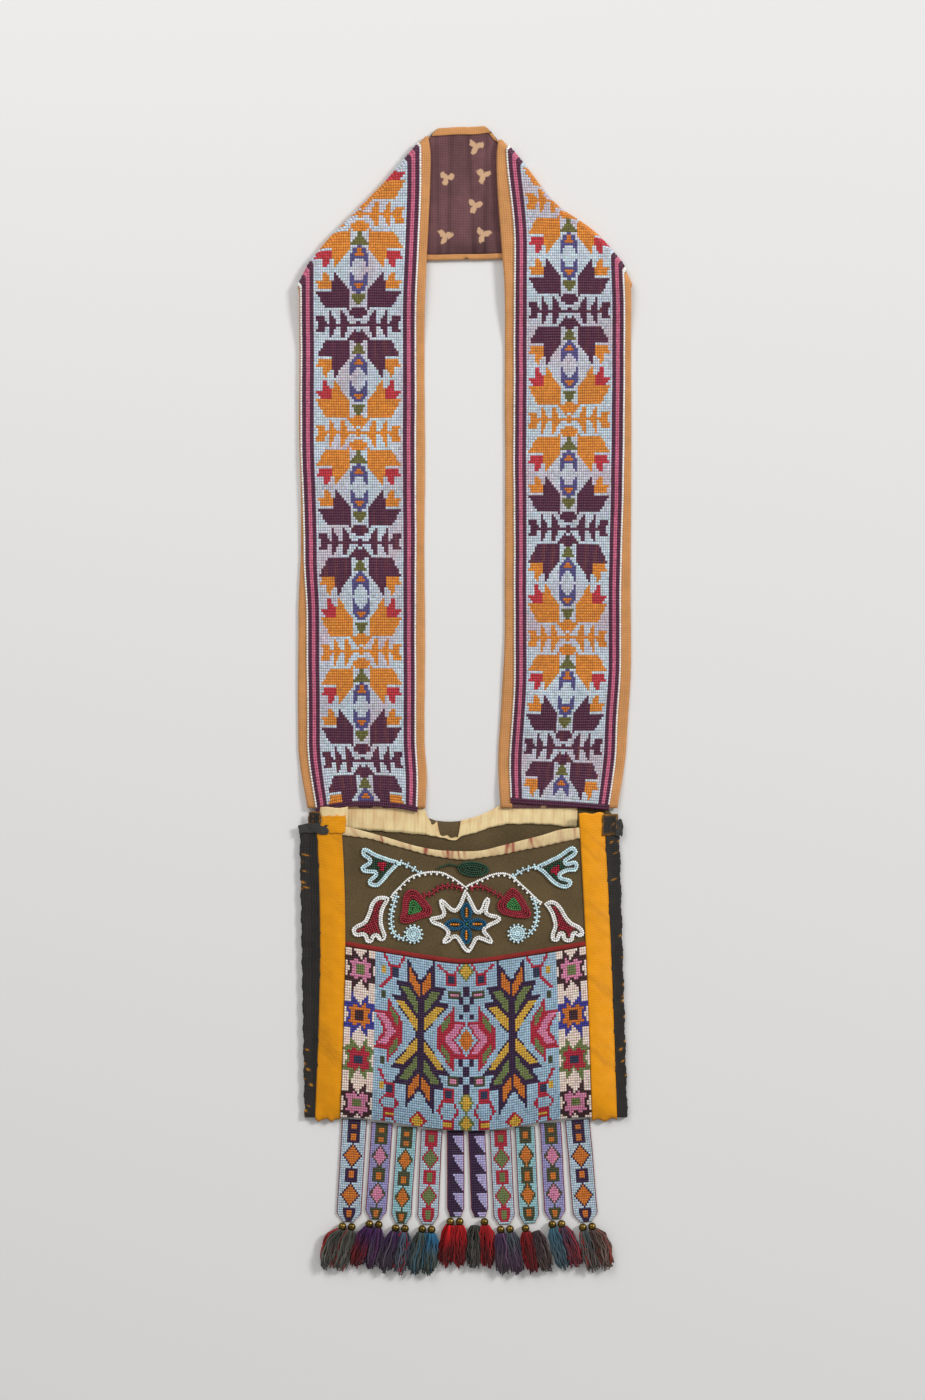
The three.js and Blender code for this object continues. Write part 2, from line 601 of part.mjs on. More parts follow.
const TAB_COLORS = ["#8fbcd8", "#8f93c4", "#7fb6cc", "#9cc3da", "#3d2148"];
const TASSEL_COLORS = [
  "#6f6a62", "#7c5a55", "#5d3348", "#4f4450", "#583a52", "#5b6b7c", "#66706c",
  "#4f7386", "#b3202c", "#8f1f2a", "#55594f", "#a01f2b", "#5c4a5c", "#5f6d72",
  "#7d2430", "#5d4c55", "#5a6c7e", "#6f4f55", "#5f6d70", "#6b5247",
];
const BARE_TASSELS = ["tassel_06a", "tassel_08b"];

function tabLayout() {
  const widths = [...TAB_WIDTHS, ...TAB_WIDTHS.toReversed()];
  const lengths = [...TAB_LENGTHS, ...TAB_LENGTHS.toReversed()];
  const colors = [...TAB_COLORS, ...TAB_COLORS.toReversed()];
  const total = widths.reduce((sum, width) => sum + width, 0) + TAB_GAP * (widths.length - 1);
  const middle = (widths.length - 1) / 2;
  let left = -total / 2;
  return widths.map((width, i) => {
    const x = left + width / 2;
    left += width + TAB_GAP;
    const lean = degToRad(TAB_LEAN_DEGREES) * ((i - middle) / middle);
    const reach = fieldAt(-POUCH_HEIGHT);
    const edges = [x - width / 2, x, x + width / 2].map((edge) => bottomAt(edge / reach));
    const y = Math.min(...edges) - CLEARANCE - (Math.abs(Math.sin(lean)) * width) / 2;
    return { x, y, lean, width, length: lengths[i], color: colors[i] };
  });
}

// A woven strip with grooves between its courses and a tapered end
function tabGeometry({ width, length }) {
  const woven = length - TAB_POINT_LENGTH;
  const stations = shares(2 * TAB_COURSES).map((f, i) => [f * woven, width, i % 2 ? 0 : TAB_GROOVE_DEPTH]);
  stations.push([length, Math.min(TAB_TIP_WIDTH, width), TAB_GROOVE_DEPTH]);
  const outline = [[-0.5, 0], [0.5, 0], [0.5, 1], [-0.5, 1]];
  const sections = stations.map(([down, wide, groove]) => (
    outline.map(([s, n]) => new THREE.Vector3(s * wide, -down, n * (TAB_THICKNESS - groove)))
  ));
  return loftGeometry(sections, outline.map(([s, n]) => new THREE.Vector2(s, n)));
}

// A tassel from its brass bead, or its bare head, to the cut ends of its yarn
function tasselGeometry(hasBead) {
  const bead = BRASS_BEAD_DIAMETER / 2;
  const ball = [-0.9, -0.4, 0.4, 0.9].map((t) => [bead * (1 + t), bead * Math.sqrt(1 - t * t), 0]);
  const head = hasBead ? ball : [[bead, bead * 0.3, 0]];
  const skirt = [[0.1, 0.5], [0.35, 0.75], [0.75, 1], [1, 0.84]];
  const stations = [
    ...head.map(([down, radius]) => ({ down, halfWidth: radius, halfHeight: radius, flute: 1 })),
    ...skirt.map(([share, size]) => ({
      down: 2 * bead + share * TASSEL_LENGTH,
      halfWidth: (TASSEL_WIDTH / 2) * size,
      halfHeight: (TASSEL_HEIGHT / 2) * Math.sqrt(size),
      flute: TASSEL_FLUTE,
    })),
  ];
  const turn = (i) => ((i + 0.5) * 2 * Math.PI) / TASSEL_SIDES;
  const sections = stations.map(({ down, halfWidth, halfHeight, flute }) => (
    range(TASSEL_SIDES).map((i) => {
      const pinch = i % 2 ? flute : 1;
      const z = Math.max(halfHeight, bead) + halfHeight * pinch * Math.sin(turn(i));
      return new THREE.Vector3(halfWidth * pinch * Math.cos(turn(i)), -down, z);
    })
  ));
  const cap = range(TASSEL_SIDES).map((i) => new THREE.Vector2(Math.cos(turn(i)), Math.sin(turn(i))));
  return loftGeometry(sections, cap);
}

function buildTabsAndTassels() {
  const layout = tabLayout();
  const tasselCount = 2 * layout.length;
  layout.forEach((tab, i) => {
    const label = String(i + 1).padStart(2, "0");
    const mesh = addPiece(`tab_${label}`, tabGeometry(tab), tab.color, 0.4);
    mesh.position.set(tab.x, tab.y, 0);
    mesh.rotation.z = tab.lean;
    const tip = new THREE.Vector3(0, -tab.length - CLEARANCE, 0).applyEuler(mesh.rotation).add(mesh.position);
    for (const [k, letter] of [[0, "a"], [1, "b"]]) {
      const order = 2 * i + k;
      const name = `tassel_${label}${letter}`;
      const hangX = tip.x + (k - 0.5) * (BRASS_BEAD_DIAMETER + 2 * CLEARANCE);
      const endX = (order - (tasselCount - 1) / 2) * TASSEL_SPREAD;
      const tassel = addPiece(name, tasselGeometry(!BARE_TASSELS.includes(name)), TASSEL_COLORS[order], 1);
      const step = (k - 0.5) * 2 * Math.abs(Math.sin(tab.lean)) * BRASS_BEAD_DIAMETER * Math.sign(tab.lean);
      tassel.position.set(hangX, tip.y + Math.min(step, 0), 0);
      tassel.rotation.z = Math.atan2(endX - hangX, TASSEL_LENGTH + BRASS_BEAD_DIAMETER);
    }
  });
}

buildStrap();
buildBack();
buildFront();
buildSides();
buildEmbroidery();
buildTabsAndTassels();

// The bag rests on z = 0, and the middle of its outline is the origin
bag.updateMatrixWorld(true);
const box = new THREE.Box3().setFromObject(bag, true);
const middle = box.getCenter(new THREE.Vector3());
bag.position.set(-middle.x, -middle.y, -box.min.z);

export default bag;
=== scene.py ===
import math

import bmesh
import bpy
import numpy as np
from bpy.props import FloatProperty, FloatVectorProperty, PointerProperty
from bpy.types import Operator, Panel, PropertyGroup
from mathutils import Matrix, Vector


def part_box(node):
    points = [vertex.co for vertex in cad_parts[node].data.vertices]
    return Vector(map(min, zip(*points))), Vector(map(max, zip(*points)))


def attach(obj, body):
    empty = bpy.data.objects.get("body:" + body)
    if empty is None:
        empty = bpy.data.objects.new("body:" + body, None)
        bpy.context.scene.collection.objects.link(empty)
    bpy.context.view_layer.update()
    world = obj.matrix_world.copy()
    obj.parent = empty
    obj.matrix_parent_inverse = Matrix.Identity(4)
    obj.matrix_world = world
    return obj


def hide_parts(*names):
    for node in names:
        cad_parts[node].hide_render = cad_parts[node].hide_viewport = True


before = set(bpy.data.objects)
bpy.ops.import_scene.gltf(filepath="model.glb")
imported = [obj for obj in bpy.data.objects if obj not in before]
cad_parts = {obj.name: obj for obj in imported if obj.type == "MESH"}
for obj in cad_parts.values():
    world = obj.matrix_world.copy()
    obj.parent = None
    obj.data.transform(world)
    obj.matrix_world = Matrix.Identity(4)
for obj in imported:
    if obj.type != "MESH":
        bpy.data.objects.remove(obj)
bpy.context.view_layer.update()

bl_info = {
    "name": "Beaded bandolier bag",
    "version": (1, 0, 0),
    "blender": (4, 5, 0),
    "location": "View3D > Sidebar > Bandolier bag",
    "description": "Dresses the bag's solids with woven beads, cloth, bead embroidery and yarn",
    "category": "Add Mesh",
}

MM = 0.001
SEAM_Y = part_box("strap_beadwork")[0].y / MM
SIDES = ((-1, "left"), (1, "right"))

# Sizes of the solids that the pieces lie on, in millimetres from the strap's seam
CLEARANCE = 0.3
STRAP_WIDTH = 110.0
STRAP_END_WIDTH = 97.0
STRAP_TAPER = 70.0
STRAP_DROP = 466.0
STRAP_LAP = 10.0
STRAP_RAMP = 60.0
STRAP_RAMP_END = 2.0
LOOP_GAP = 62.0
LOOP_GAP_AT_POUCH = 68.0
FOLD_RADIUS = 0.4
FOLD_AXIS = 4.1
FOLD_ARC = 3.2
SEAT = 1.9
STRAP_HALF_LENGTH = STRAP_DROP + STRAP_WIDTH + LOOP_GAP / 2 + math.pi * FOLD_ARC
POUCH_TOP = 136.0
POUCH_BOTTOM = 137.5
POUCH_HEIGHT = 262.5
POUCH_LEAN = -6.0
FIELD_SHIFT = (4.6, 1.2)
POUCH_GAPE = 6.5
BOTTOM_SLOPE = 28.0
SIDE_SEAM = 8.0
BOTTOM_SAG = 11.5
FRONT_THICKNESS = 1.4
FRONT_SKIN = FRONT_THICKNESS + CLEARANCE
WOOL_TOP = SEAT + POUCH_GAPE + FRONT_THICKNESS
CORNER_DROP = 5.0
RIBBON_WIDTH = 21.5
EDGING_TOP = 13.5
EDGING_BOTTOM = 9.3
TAB_WIDTHS = (21.5, 18.5, 17.5, 18.5, 15.0)
TAB_LENGTHS = (87.0, 82.0, 82.0, 80.0, 73.0)
TAB_GAP = 3.2
TAB_POINT = 8.0
TAB_TIP_WIDTH = 10.0
BRASS_DIAMETER = 7.0
TASSEL_LENGTH = 37.0
TASSEL_WIDTH = 11.6
TASSEL_HEIGHT = 9.0
TASSEL_SPREAD = 12.9


def linear(code):
    """An sRGB hex colour as linear red, green and blue."""
    parts = [int(code[i:i + 2], 16) / 255 for i in (1, 3, 5)]
    return tuple(p / 12.92 if p <= 0.04045 else ((p + 0.055) / 1.055) ** 2.4 for p in parts)


def colour(name, code, words):
    """A colour that a user may change."""
    return FloatVectorProperty(
        name=name, description=words, default=linear(code), subtype="COLOR", size=3, min=0.0, max=1.0
    )


def length(name, millimetres, words):
    """A length that a user may change."""
    return FloatProperty(
        name=name, description=words, default=millimetres * MM, min=0.0, subtype="DISTANCE", unit="LENGTH"
    )


class BagBeadColours(PropertyGroup):
    """Colours of the glass beads"""

    sky: colour("Sky", "#cfe2ee", "Pale blue ground of the strap")
    lilac: colour("Lilac", "#d2c5d1", "Lilac dye lot in the strap's ground")
    plum: colour("Plum", "#542041", "Dark purple of the strap's stars and borders")
    worn: colour("Worn plum", "#8a4b3c", "Thread that shows where the strap's dark beads are worn")
    orange: colour("Orange", "#e8902f", "Orange of the strap's stars")
    red: colour("Red", "#c8303e", "Red of the strap's corner leaves")
    pink: colour("Pink", "#d66d8e", "Pink of the strap's borders")
    white: colour("White", "#fffcf6", "White of outlines and edge beads")
    violet: colour("Violet", "#55528c", "Blue violet of the strap's tulips")
    moss: colour("Moss", "#6d6d34", "Moss green of the strap's triangles")
    water: colour("Water", "#a6c8de", "Light blue ground of the loom panel")
    frost: colour("Frost", "#bdd3e1", "Pale blue ground of most tabs")
    night: colour("Night", "#2b0f3e", "Dark purple of the loom panel's outlines")
    crimson: colour("Crimson", "#b81d39", "Crimson of the loom panel and of the tabs")
    leaf: colour("Leaf", "#71834a", "Leaf green of the loom panel and of the tabs")
    gold: colour("Gold", "#deb13e", "Yellow of the loom panel")
    amber: colour("Amber", "#d8791f", "Orange of the loom panel and of the tabs")
    rose: colour("Rose", "#e08bae", "Pink of the loom panel and of the tabs")
    shell: colour("Shell", "#f9e4d7", "Pinkish white ground of the loom panel's side columns")
    bark: colour("Bark", "#3a1c22", "Dark brown outline of the loom panel's side stars")
    indigo: colour("Indigo", "#35399a", "Blue violet outline of a side star")
    navy: colour("Navy", "#1d3352", "Navy centres in the loom panel")
    periwinkle: colour("Periwinkle", "#a29ed2", "Lavender blue ground of a pair of tabs")
    lavender: colour("Lavender", "#c0bae8", "Pale lavender steps of the middle tabs")
    turquoise: colour("Turquoise", "#9ed2d9", "Turquoise ground of a pair of tabs")
    bottle: colour("Bottle", "#414a2c", "Dark green squares of two pairs of tabs")
    ice: colour("Ice", "#d3eef6", "Light blue of the embroidery")
    wine: colour("Wine", "#9b2b39", "Dark red of the embroidery")
    fir: colour("Fir", "#2a4b38", "Dark green of the embroidery")
    grass: colour("Grass", "#3f8044", "Green centres of the heart buds")
    lake: colour("Lake", "#1c5876", "Dark blue petals of the embroidery")
    thread: colour("Thread", "#7d4a48", "Thread seen between the beads")
    edge_thread: colour("Edge thread", "#8c2f3d", "Dark red thread along the tabs' edges")


class BagClothColours(PropertyGroup):
    """Colours of the cloth, the yarn and the stage"""

    tan: colour("Tan", "#c98e58", "Tan cotton bindings")
    plum_cotton: colour("Plum cotton", "#6e4a4d", "Printed cotton lining")
    print_cream: colour("Print cream", "#dcb38c", "Sprigs on the printed cotton")
    wool: colour("Wool", "#5d4d33", "Olive brown wool")
    cream: colour("Cream", "#f5dba5", "Cream silk at the mouth")
    stain: colour("Stain", "#9a4638", "Reddish marks on the cream binding")
    yellow: colour("Yellow", "#e99800", "Yellow silk ribbon")
    # Stains of the yellow ribbon and the shade painted in its creases
    ribbon_stain_and_crease_shade: colour("Ribbon wear", "#a86a12", "Stains and creases of the yellow ribbon")
    black: colour("Black", "#2d2a27", "Black ribbed edging")
    rag: colour("Rag", "#3e3d3a", "Grey shreds of the edging")
    braid: colour("Braid", "#8c2a27", "Red wool braid")
    brass: colour("Brass", "#8a7038", "Brass beads")
    floor: colour("Floor", "#e6e5e3", "Pale floor")


class BagSizes(PropertyGroup):
    """Sizes of the beads, the yarn and the stage"""

    strap_row: length("Strap row", 2.28, "Height of one row of the strap's beads")
    string_bead: length("String bead", 1.88, "Diameter of an embroidered bead")
    yarn: length("Yarn", 1.15, "Thickness of a tassel's yarn")
    camera_height: length("Camera height", 3000.0, "Height of the camera over the floor")
    view_width: length("View width", 786.25, "Width of the floor that the picture shows")


# Shapes of the solids

def ease(x, low, high):
    """0 below low, 1 above high and a smooth step between them."""
    share = np.clip((x - low) / (high - low), 0, 1)
    return share * share * (3 - 2 * share)


def mix(a, b, share):
    """From a, where share is 0, to b, where it is 1."""
    return a + (b - a) * share


def waver(x, y, seed):
    """A smooth irregular swing from about -1 to 1, for handwork that is never quite straight."""
    draw = np.random.default_rng(seed)
    total = 0
    for octave in (1, 2.1, 4.3):
        angle, phase = draw.uniform(0, 2 * math.pi, 2)
        total = total + np.sin(octave * (x * math.cos(angle) + y * math.sin(angle)) + phase) / octave
    return total / 1.7


def patches(x, y, seed, below=0.0):
    """Soft irregular patches of up to 1, with nothing between them."""
    return np.clip(waver(x, y, seed) - below, 0, 1)


def hump(x, middle, width):
    """A smooth hump, 1 at its middle."""
    return np.exp(-(((x - middle) / width) ** 2))


def drift(x, start, *steps):
    """A measure that begins at start and takes each step's change between its two places."""
    return start + sum(change * ease(x, first, last) for change, first, last in steps)


def between(x, rise, fall):
    """1 between two places and 0 beyond them, with a smooth rise and fall."""
    return ease(x, *rise) * (1 - ease(x, *fall))


def in_frame(x, y, z):
    """Points in millimetres from the strap's seam, in metres in the bag's frame."""
    x, y, z = np.broadcast_arrays(x, y, z)
    return np.stack([x, y + SEAM_Y, z], axis=-1) * MM


# Places along the strap where it widens from its sewn end, and where it climbs onto its cross run
STRAP_WIDENS = (-0.35 * STRAP_TAPER, 0.8 * STRAP_TAPER)
CROSS_RAMP = (STRAP_DROP - STRAP_RAMP - 20, STRAP_DROP - STRAP_RAMP_END - 24)

# How far the folds sag below straight ones, by the place across the strap: start and steps, for drift
LEFT_SAG = (6.0, (6.0, -56, -14))
RIGHT_SAG = 12.5
RIGHT_SWELL = (10.5, 14, 24)
ROUNDED_CORNER = ((3.7, 24, 47), (10.0, 43, 57))

# Length in which the cross run evens out a fold's sag: in sags, and a step more towards the outside
SETTLE_SAGS = 2.1
SETTLE_STEP = (40, -54, 6)

# Least height of the strap over the floor
FLOOR_GAP = 0.03


def run_height(y):
    """Height of the strap's runs: on the pouch at one end and on the cross run at the other."""
    on_pouch = 1 - ease(y, STRAP_LAP + CLEARANCE, STRAP_LAP + STRAP_RAMP / 2)
    return SEAT * on_pouch + (FOLD_AXIS + FOLD_RADIUS) * ease(y, *CROSS_RAMP)


def fold_drop(side, across):
    """How far the fold lies below a straight one: it sags, and is rounded off at its outer end."""
    if side < 0:
        return drift(-across, *LEFT_SAG, *ROUNDED_CORNER)
    swell, middle, width = RIGHT_SWELL
    return drift(-across, RIGHT_SAG, *ROUNDED_CORNER) + swell * hump(across, middle, width)


def on_strap(side, across, along, out):
    """A point of the strap: across it towards the loop, along it from the seam over the fold to the
    middle of the cross run, and out from the fold's axis."""
    drop = fold_drop(side, across)
    fold_at = STRAP_DROP + STRAP_WIDTH / 2 + across - drop
    turn = np.clip((along - fold_at) / FOLD_ARC, 0, math.pi)
    past = np.maximum(along - fold_at - math.pi * FOLD_ARC, 0)
    settled = drop * ease(past, 0, drift(-across, SETTLE_SAGS * drop, SETTLE_STEP))
    y = np.minimum(along, fold_at)
    full = ease(y, *STRAP_WIDENS)
    width = mix(STRAP_END_WIDTH, STRAP_WIDTH, full)
    middle = mix(LOOP_GAP_AT_POUCH, LOOP_GAP, full) / 2 + width / 2
    reach = out * np.sin(turn) * math.sqrt(0.5)
    x = across * width / STRAP_WIDTH - middle - reach + past - settled
    z = np.where(turn > 0, FOLD_AXIS + out * np.cos(turn), run_height(y) + out - FOLD_RADIUS)
    return in_frame(-side * x, y + reach + settled, np.maximum(z, FLOOR_GAP))


def hang(u):
    """How far a hem hangs: 1 in the middle of the field and 0 at the ribbons."""
    return np.where(np.abs(u) < 1, np.cos(math.pi / 2 * u) ** 2, 0)


def down_pouch(y):
    """Share of the way from the mouth down to the hem."""
    return np.clip(-y / POUCH_HEIGHT, 0, 1)


def lean_at(y):
    """Sideways place of the pouch's middle line."""
    return POUCH_LEAN * (1 - down_pouch(y))


def side_at(y):
    """Distance of the pouch's sides from its middle line."""
    return mix(POUCH_TOP, POUCH_BOTTOM, down_pouch(y))


def edging_at(y):
    """Distance of the edgings' inner edges from the middle line."""
    return side_at(y) - mix(EDGING_TOP, EDGING_BOTTOM, down_pouch(y))


def field_at(y):
    """Distance of the ribbons' inner edges from the middle line."""
    return edging_at(y) - RIBBON_WIDTH


def bottom_at(u):
    """Height of the hem."""
    return -POUCH_HEIGHT - BOTTOM_SAG * hang(u)


def drape(u):
    """How far the braid hangs: 1 in the middle and 0 at the ribbons, almost straight between."""
    soft = 0.03
    return 1 - (np.sqrt(u * u + soft) - math.sqrt(soft)) / (math.sqrt(1 + soft) - math.sqrt(soft))


def across_pouch(u, y):
    """Sideways place of u: 0 on the middle line, 1 at the ribbons, 2 at the edgings, 3 at the sides."""
    field, edging, side = field_at(y), edging_at(y), side_at(y)
    size = np.abs(u)
    inner = np.minimum(size, 1) * field
    ribbon = np.clip(size - 1, 0, 1) * (edging - field)
    outer = np.clip(size - 2, 0, 1) * (side - edging)
    return np.sign(u) * (inner + ribbon + outer)


def pouch_x(u, y):
    """Sideways place of u on the pouch as it lies: its field bows to the right between mouth and hem."""
    most = mix(FIELD_SHIFT[0], FIELD_SHIFT[1], (np.clip(u, -1, 1) + 1) / 2)
    bow = np.sin(math.pi * down_pouch(y) ** 0.8)
    return across_pouch(u, y) + lean_at(y) + most * bow * (1 - ease(np.abs(u), 2, 3))


def gape_at(beside, y, hem):
    """Height of the wool front's underside at a distance from the middle line."""
    seam = side_at(y) - SIDE_SEAM
    to_seam = np.clip((beside - field_at(y)) / (seam - field_at(y)), 0, 1)
    from_bottom = np.clip((y - hem) / BOTTOM_SLOPE, 0, 1)
    return SEAT + POUCH_GAPE * np.cos(math.pi / 2 * to_seam) * np.sin(math.pi / 2 * from_bottom)


def front_underside(u, y):
    """Height of the wool front's underside at a place of its own cloth."""
    return gape_at(np.abs(across_pouch(u, y)), y, bottom_at(u))


def on_front(u, y, height):
    """A point at a height over the wool front."""
    x = pouch_x(u, y)
    return in_frame(x, y, gape_at(np.abs(x - lean_at(y)), y, bottom_at(u)) + FRONT_SKIN + height)


# Meshes

def flat_shell(columns, rows, thickness):
    """A closed flat sheet of unit squares with its faces numbered, and the faces of its top."""
    bm = bmesh.new()
    cell = bm.faces.layers.int.new("cell")
    bmesh.ops.create_grid(bm, x_segments=columns, y_segments=rows, size=0.5)
    bmesh.ops.translate(bm, vec=(0.5, 0.5, 0), verts=bm.verts)
    bmesh.ops.scale(bm, vec=(columns, rows, 1), verts=bm.verts)
    for face in bm.faces:
        middle = face.calc_center_median()
        face[cell] = int(middle.x) + columns * int(middle.y)
    made = bmesh.ops.extrude_face_region(bm, geom=bm.faces[:])["geom"]
    raised = [part for part in made if isinstance(part, bmesh.types.BMVert)]
    bmesh.ops.translate(bm, vec=(0, 0, thickness), verts=raised)
    return bm, [part for part in made if isinstance(part, bmesh.types.BMFace)]


def read(items, field, width, kind=np.float64):
    """A field of mesh elements as an array."""
    values = np.empty(len(items) * width, kind)
    items.foreach_get(field, values)
    return values.reshape(-1, width) if width > 1 else values


def mesh_from(bm, name):
    """A mesh made from a bmesh, which is freed."""
    mesh = bpy.data.meshes.new(name)
    bm.to_mesh(mesh)
    bm.free()
    return mesh


def add_piece(mesh, points, material, nodes=()):
    """The mesh with its vertices at these points, as a piece that rides on the bag."""
    mesh.vertices.foreach_set("co", np.ascontiguousarray(points, np.float32).ravel())
    mesh.polygons.foreach_set("use_smooth", np.ones(len(mesh.polygons), bool))
    mesh.update()
    volume = bmesh.new()
    volume.from_mesh(mesh)
    if volume.calc_volume(signed=True) < 0:
        mesh.flip_normals()
    volume.free()
    mesh.materials.append(material)
    piece = bpy.data.objects.new(mesh.name, mesh)
    bpy.context.scene.collection.objects.link(piece)
    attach(piece, "root")
    if nodes:
        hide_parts(*nodes)
    return piece


def paint(mesh, name, corner_colours):
    """A colour attribute with one colour for each corner of each face."""
    rgba = np.ones((len(mesh.loops), 4), np.float32)
    rgba[:, :3] = corner_colours
    mesh.color_attributes.new(name=name, type="FLOAT_COLOR", domain="CORNER")
    mesh.color_attributes[name].data.foreach_set("color", rgba.ravel())


def add_map(mesh, name, corner_places):
    """A map with one place for each corner of each face."""
    mesh.uv_layers.new(name=name)
    mesh.uv_layers[name].data.foreach_set("uv", np.ascontiguousarray(corner_places, np.float32).ravel())


def corner_cells(mesh):
    """The cell that each corner belongs to."""
    cells = read(mesh.attributes["cell"].data, "value", 1, np.int32)
    return np.repeat(cells, read(mesh.polygons, "loop_total", 1, np.int32))


# Heights of the woven beads in mm, and the gap round a bead's crown as a share of the bead
BEAD_BASE = 0.85
BEAD_RELIEF = 0.8
CROWN_GAP = 0.25

# How much a bead's crown swells across and along, and how unlike crowns are, in beads and in mm of height
CROWN_SWELL = np.array([1.3, 1.0])
CROWN_SPREAD = 0.045

# Painted shade in the gap beside a bead: the share of the bead's colour kept there, and the share of its
# thread's colour seen there
GAP_PAINTED_SHADE = np.array([0.38, 0.32, 0.31])
GAP_THREAD = 0.16

# Upper end of the beads' faces in the flat layout, and the start of the underside above them
LAYOUT_FACE = 0.86
LAYOUT_UNDER = 0.88


def weave_beads(name, columns, rows, bead_colours, place, thread, seed, strips=1):
    """A cloth of glass beads, with one raised face for each bead, laid by place."""
    bm, top = flat_shell(columns, rows, BEAD_BASE)
    bmesh.ops.inset_individual(bm, faces=top, thickness=CROWN_GAP, depth=0, use_even_offset=True)
    crowns = list({vert for face in top for vert in face.verts})
    bmesh.ops.translate(bm, vec=(0, 0, BEAD_RELIEF), verts=crowns)
    mesh = mesh_from(bm, name)

    flat = read(mesh.vertices, "co", 3)
    corner_vertex = read(mesh.loops, "vertex_index", 1, np.int32)
    cells = corner_cells(mesh)
    on_crown = flat[:, 2] > BEAD_BASE + BEAD_RELIEF / 2
    seen = on_crown[corner_vertex]
    # The gaps round each crown take painted shade, a darkened bead colour, with a little of the real
    # thread's colour
    gap_shade_and_thread = bead_colours * GAP_PAINTED_SHADE + GAP_THREAD * np.array(thread)
    shade = np.where(seen[:, None], bead_colours[cells], gap_shade_and_thread[cells])
    under = flat[corner_vertex, 2] < BEAD_BASE / 2
    shade[under] = thread
    paint(mesh, "bead_colour", shade)

    # Each strip of the flat layout takes an equal run of rows, with the underside above it
    run = rows / strips
    strip = np.minimum((cells // columns) // run, strips - 1)
    spot = flat[corner_vertex]
    along = (spot[:, 1] - strip * run) / run
    lay = np.stack([(strip + spot[:, 0] / columns) / strips, along * LAYOUT_FACE], axis=-1)
    lay[under, 1] = mix(LAYOUT_UNDER, 1, along[under])
    add_map(mesh, "OFBake", lay)

    # Beads are barrels on a weft thread, a little wider than tall, and no two are quite alike
    draw = np.random.default_rng(seed)
    jitter = draw.normal(0, CROWN_SPREAD, (columns * rows, 3))
    crown_cell = np.zeros(len(flat), np.int64)
    crown_cell[corner_vertex] = cells
    centre = np.stack([crown_cell % columns + 0.5, crown_cell // columns + 0.5], axis=-1)
    moved = flat.copy()
    swell = (flat[:, :2] - centre) * CROWN_SWELL + centre
    moved[on_crown, :2] = swell[on_crown] + jitter[crown_cell[on_crown], :2]
    moved[on_crown, 2] += jitter[crown_cell[on_crown], 2]
    return mesh, place(moved[:, 0], moved[:, 1], moved[:, 2])


def lay_cloth(name, columns, rows, thickness, size, place, stain=None):
    """A closed sheet of cloth laid by place from shares of its width and length, with a map in mm and its
    stains, which on some cloths include painted shade."""
    mesh = mesh_from(flat_shell(columns, rows, thickness)[0], name)
    flat = read(mesh.vertices, "co", 3)
    share = flat[:, :2] / np.array([columns, rows])
    corner_vertex = read(mesh.loops, "vertex_index", 1, np.int32)
    add_map(mesh, "cloth", (share * np.array(size))[corner_vertex])
    if stain is not None:
        marks = np.clip(stain(share[:, 0], share[:, 1]), 0, 1)
        paint(mesh, "stain", marks[corner_vertex][:, None])
    return mesh, place(share[:, 0], share[:, 1], flat[:, 2])


def inside(polygon, x, y):
    """Which points lie inside a polygon."""
    found = np.zeros(np.shape(x), bool)
    for (x0, y0), (x1, y1) in zip(polygon, polygon[1:] + polygon[:1]):
        if y0 != y1:
            crossing = (y0 > y) != (y1 > y)
            found ^= crossing & (x < x0 + (y - y0) * (x1 - x0) / (y1 - y0))
    return found


def box(x, y, half_width, half_height):
    """The corners of an upright box about a point."""
    return [
        (x - half_width, y - half_height), (x + half_width, y - half_height),
        (x + half_width, y + half_height), (x - half_width, y + half_height),
    ]


def diamond(x, y, half_width, half_height):
    """The corners of a lozenge about a point."""
    return [(x - half_width, y), (x, y - half_height), (x + half_width, y), (x, y + half_height)]


def stroke(x0, y0, x1, y1, half_width=0.6):
    """A straight line of beads, as a narrow box along it."""
    long = math.hypot(x1 - x0, y1 - y0)
    beside_x = (y0 - y1) / long * half_width
    beside_y = (x1 - x0) / long * half_width
    return [
        (x0 + beside_x, y0 + beside_y), (x1 + beside_x, y1 + beside_y),
        (x1 - beside_x, y1 - beside_y), (x0 - beside_x, y0 - beside_y),
    ]


def hexagon(x, y, half_width, half_height):
    """The corners of a hexagon about a point."""
    shoulder = half_width * 0.48
    return [
        (x - half_width, y), (x - shoulder, y - half_height), (x + shoulder, y - half_height),
        (x + half_width, y), (x + shoulder, y + half_height), (x - shoulder, y + half_height),
    ]


def bead_grid(columns, rows, middle):
    """Each woven bead's column from the middle one and its row from a middle, as two flat lists."""
    column, row = np.meshgrid(np.arange(columns) + 0.5 - columns / 2, np.arange(rows) + 0.5 - middle)
    return column.ravel(), row.ravel()


def fill_shapes(found, colours, shapes, x, y):
    """Colours the beads inside each shape, later shapes over earlier ones."""
    for key, polygon in shapes:
        found[inside(polygon, x, y)] = getattr(colours, key)


def dyed(colours, columns, rows, seed):
    """Bead colours with the small differences of tint between beads and between dye lots."""
    lot_spread, bead_spread, tint_spread = 0.07, 0.09, 0.03
    draw = np.random.default_rng(seed)
    column, row = np.meshgrid(np.arange(columns), np.arange(rows))
    lot = 1 + lot_spread * waver(column * 0.08, row * 0.16, seed).ravel()
    bead = 1 + draw.normal(0, bead_spread, columns * rows)
    tint = 1 + draw.normal(0, tint_spread, (columns * rows, 3))
    return np.clip(colours * (lot * bead)[:, None] * tint, 0, 1)


# Materials

def add_node(tree, kind, settings=None, links=None):
    """A node with its settings and input values, linked from other nodes' sockets."""
    node = tree.nodes.new(kind)
    for key, value in (settings or {}).items():
        if isinstance(key, int) or key in node.inputs:
            node.inputs[key].default_value = value
        else:
            setattr(node, key, value)
    for key, socket in (links or {}).items():
        tree.links.new(socket, node.inputs[key])
    return node


